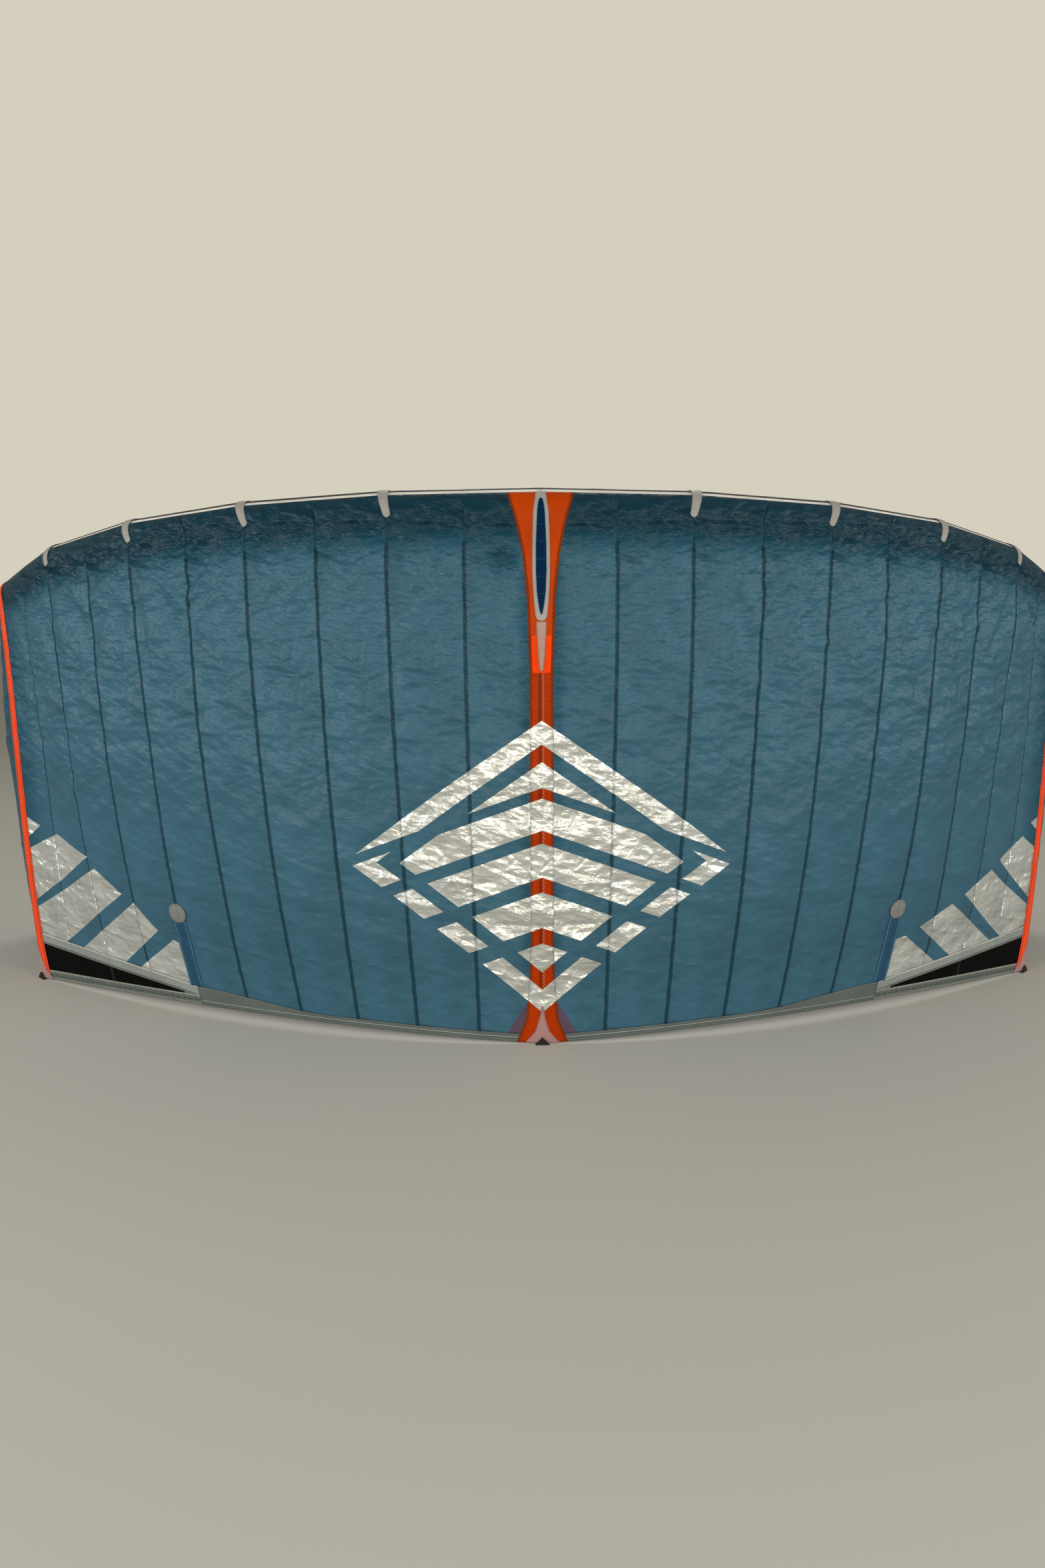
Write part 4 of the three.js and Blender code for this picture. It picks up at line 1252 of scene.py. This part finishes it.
def hang_lamps(collection):
    for name, place, target, size, power, tint in LAMPS:
        lamp = bpy.data.lights.new(name, "AREA")
        lamp.shape = "DISK"
        lamp.size = size
        lamp.energy = power
        lamp.color = linear(tint)[:3]
        holder = bpy.data.objects.new(name, lamp)
        turn = (Vector(target) - Vector(place)).to_track_quat("-Z", "Y").to_matrix()
        holder.matrix_world = Matrix.Translation(place) @ turn.to_4x4()
        collection.objects.link(holder)


def studio_air():
    """A plain warm world, brighter to the camera than to the kite."""
    world = bpy.data.worlds.new("studio air")
    world.use_nodes = True
    tree = world.node_tree
    air = tree.nodes["Background"]
    air.inputs["Color"].default_value = linear(AIR["colour"])
    seen = add(tree, "LightPath").outputs["Is Camera Ray"]
    strength = add(tree, "Mix", {0: seen, 2: AIR["light"], 3: AIR["seen"]})
    tree.links.new(strength.outputs[0], air.inputs["Strength"])
    return world


def set_camera(collection):
    lens = bpy.data.cameras.new("camera")
    lens.lens = CAMERA["lens"]
    lens.sensor_width = CAMERA["sensor"]
    camera = bpy.data.objects.new("camera", lens)
    right, up = Vector(CAMERA["right"]), Vector(CAMERA["up"])
    turn = Matrix((right, up, right.cross(up))).transposed()
    camera.matrix_world = Matrix.Translation(CAMERA["place"]) @ turn.to_4x4()
    collection.objects.link(camera)
    return camera


class KITE_OT_leading_edge(bpy.types.Operator):
    """Inflate the leading edge tube"""

    bl_idname = "kite.leading_edge"
    bl_label = "Leading edge"

    def execute(self, context):
        close_tube("leading_edge", TUBE_COLUMNS, TUBE_SIDES, tube_shape, tube_marks,
                   "white polyester sailcloth")
        return {"FINISHED"}


class KITE_OT_struts(bpy.types.Operator):
    """Inflate the struts behind the canopy"""

    bl_idname = "kite.struts"
    bl_label = "Struts"

    def execute(self, context):
        for place, seam in STRUTS:
            close_tube(f"strut_{place}", STRUT_COLUMNS, STRUT_LENGTHS, strut_shape(seam),
                       strut_marks, "pale grey polyester sailcloth")
        return {"FINISHED"}


class KITE_OT_gores(bpy.types.Operator):
    """Sew the blue gores and tips and print them"""

    bl_idname = "kite.gores"
    bl_label = "Gores and tips"

    def execute(self, context):
        finishes = {"cloth": "blue coated ripstop nylon", "silver": "silver ink on ripstop nylon",
                    "purple": "purple ink on ripstop nylon"}
        rows = context.scene.kite_sizes.gore_rows
        for side, sign in SIDES:
            for gore in range(1, STRUT_SEAM + 1):
                ends = on_side(sign, gore - 1, gore)
                sew(f"gore_{side}_{gore}", gore_place(*ends), (rows // 8, rows), 0, finishes,
                    gore_margins(*ends), gore_outlines(side))
            ends = on_side(sign, STRUT_SEAM, TIP_SEAM)
            sew(f"tip_{side}", gore_place(*ends), (rows // 4, rows // 2), 0, finishes,
                gore_margins(*ends))
        return {"FINISHED"}


class KITE_OT_hems(bpy.types.Operator):
    """Sew the hems, the bands and the dark panels along the trailing edge"""

    bl_idname = "kite.hems"
    bl_label = "Hems and bands"

    def execute(self, context):
        bands = (("upper_band", "hem", BATTEN_SEAM, dark_top, gore_bottom,
                  "light grey polyester sailcloth"),
                 ("dark_panel", "dark", BATTEN_SEAM + DARK_START, lower_top, dark_top,
                  "black polyester sailcloth"),
                 ("lower_band", "hem", BATTEN_SEAM, no_height, lower_top,
                  "edge grey polyester sailcloth"))
        for side, sign in SIDES:
            for name, slot_name, near, bottom, top, finish in bands:
                ends = on_side(sign, near, TIP_SEAM)
                sew(f"{name}_{side}", band_place(*ends, bottom, top), (180, 10), 0,
                    {"cloth": finish}, band_margins(top), foot=bottom)
            sew(f"hem_{side}", hem_place(sign), (170, 12), 0,
                {"cloth": "grey polyester sailcloth"}, band_margins(hem_top))
        return {"FINISHED"}


class KITE_OT_strips(bpy.types.Operator):
    """Sew the orange strips, the teardrop inset and the tongues"""

    bl_idname = "kite.strips"
    bl_label = "Strips and tongues"

    def execute(self, context):
        facing = {"cloth": "grey facing cloth"}
        sew_trim("centre_strip", 0, STRIP, 0, {"cloth": "orange coated ripstop nylon",
                                               "silver": "silver ink on ripstop nylon"},
                 (24, 260), outlines=lozenge_outlines())
        sew_trim("teardrop", 0, TEARDROP, FIRST_TRIM, facing, (12, 90), round_end=17)
        sew_trim("teardrop_lens", 0, LENS, SECOND_TRIM, {"cloth": "deep blue cloth"}, (10, 90),
                 round_end=12)
        sew_trim("teardrop_tail", 0, TAIL, FIRST_TRIM, {"cloth": "pinkish film cloth"}, (8, 40),
                 round_end=12)
        for side, sign in SIDES:
            sew_trim(f"side_strip_{side}", sign * STRUT_SEAM, SIDE_STRIP, FIRST_TRIM,
                     {"cloth": "bright orange ripstop nylon"}, (16, 240))
            for seam in TONGUE_SEAMS:
                sew_trim(f"tongue_{side}_{seam}", sign * seam, TONGUE, FIRST_TRIM, facing,
                         (8, 40), round_end=12)
        return {"FINISHED"}


class KITE_OT_pockets(bpy.types.Operator):
    """Sew the batten pockets, their round patches and the foot patches"""

    bl_idname = "kite.pockets"
    bl_label = "Pockets and patches"

    def execute(self, context):
        for side, sign in SIDES:
            seam = sign * BATTEN_SEAM
            ends = (POCKET["bottom"], POCKET["top"])
            outline = tuple((height / length_at(seam), POCKET["half"]) for height in ends)
            sew_trim(f"batten_pocket_{side}", seam, outline, FIRST_TRIM,
                     {"cloth": "dark blue pocket cloth"}, (10, 50))
            sew(f"batten_patch_{side}", disc_place(seam), (16, 16), SECOND_TRIM,
                {"cloth": "pinkish grey facing cloth"}, disc_margins(seam))
        for place, seam in STRUTS:
            top = FOOT_PATCH_HEIGHT / length_at(seam)
            outline = tuple((top * share, half) for share, half in FOOT_PATCH)
            sew_trim(f"foot_patch_{place}", seam, outline, FIRST_TRIM if seam == 0 else SECOND_TRIM,
                     {"cloth": "pinkish patch cloth"}, (16, 30))
        return {"FINISHED"}


class KITE_OT_tape(bpy.types.Operator):
    """Lay the black tape over the tube's closing seam"""

    bl_idname = "kite.tape"
    bl_label = "Seam tape"

    def execute(self, context):
        sew("seam_tape", tape_place, (300, 4), 0, {"cloth": "black seam tape"}, tape_margins)
        return {"FINISHED"}


class KITE_OT_feet(bpy.types.Operator):
    """Round the edges of the tough feet the kite stands on"""

    bl_idname = "kite.feet"
    bl_label = "Feet"

    def execute(self, context):
        for place, _ in STRUTS:
            name = f"foot_{place}"
            bm = bmesh.new()
            bm.from_mesh(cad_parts[name].data)
            bmesh.ops.remove_doubles(bm, verts=bm.verts, dist=MERGE)
            sharp = [edge for edge in bm.edges if edge.calc_face_angle(0) > math.radians(30)]
            bmesh.ops.bevel(bm, geom=sharp, offset=0.0004, segments=2, affect="EDGES", profile=0.5,
                            material=-1)
            hang(make_piece(f"{name}_boot", bm, ["black rubber coated cloth"]), name)
        return {"FINISHED"}


class KITE_OT_stage(bpy.types.Operator):
    """Set the pale floor, the soft lights and the camera"""

    bl_idname = "kite.stage"
    bl_label = "Stage"

    def execute(self, context):
        lay_floor()
        hang_lamps(context.collection)
        context.scene.world = studio_air()
        context.scene.view_settings.view_transform = "Standard"
        context.scene.camera = set_camera(context.collection)
        return {"FINISHED"}


class KITE_PT_pieces(bpy.types.Panel):
    """Lists the operators that make the kite"""

    bl_idname = "KITE_PT_pieces"
    bl_label = "Kitesurfing kite"
    bl_space_type = "VIEW_3D"
    bl_region_type = "UI"
    bl_category = "Kite"

    def draw(self, context):
        for operator in OPERATORS:
            self.layout.operator(operator.bl_idname)
        for group in (context.scene.kite_sizes, context.scene.kite_colours):
            for key in group.__annotations__:
                self.layout.prop(group, key)


OPERATORS = (KITE_OT_leading_edge, KITE_OT_struts, KITE_OT_gores, KITE_OT_hems, KITE_OT_strips,
             KITE_OT_pockets, KITE_OT_tape, KITE_OT_feet, KITE_OT_stage)
CLASSES = (KiteSizes, KiteColours, *OPERATORS, KITE_PT_pieces)


def register():
    for item in CLASSES:
        bpy.utils.register_class(item)
    bpy.types.Scene.kite_sizes = PointerProperty(type=KiteSizes)
    bpy.types.Scene.kite_colours = PointerProperty(type=KiteColours)


def unregister():
    del bpy.types.Scene.kite_colours
    del bpy.types.Scene.kite_sizes
    for item in reversed(CLASSES):
        bpy.utils.unregister_class(item)


def main():
    register()
    for operator in OPERATORS:
        group, action = operator.bl_idname.split(".")
        getattr(getattr(bpy.ops, group), action)()


if __name__ == "__main__":
    main()
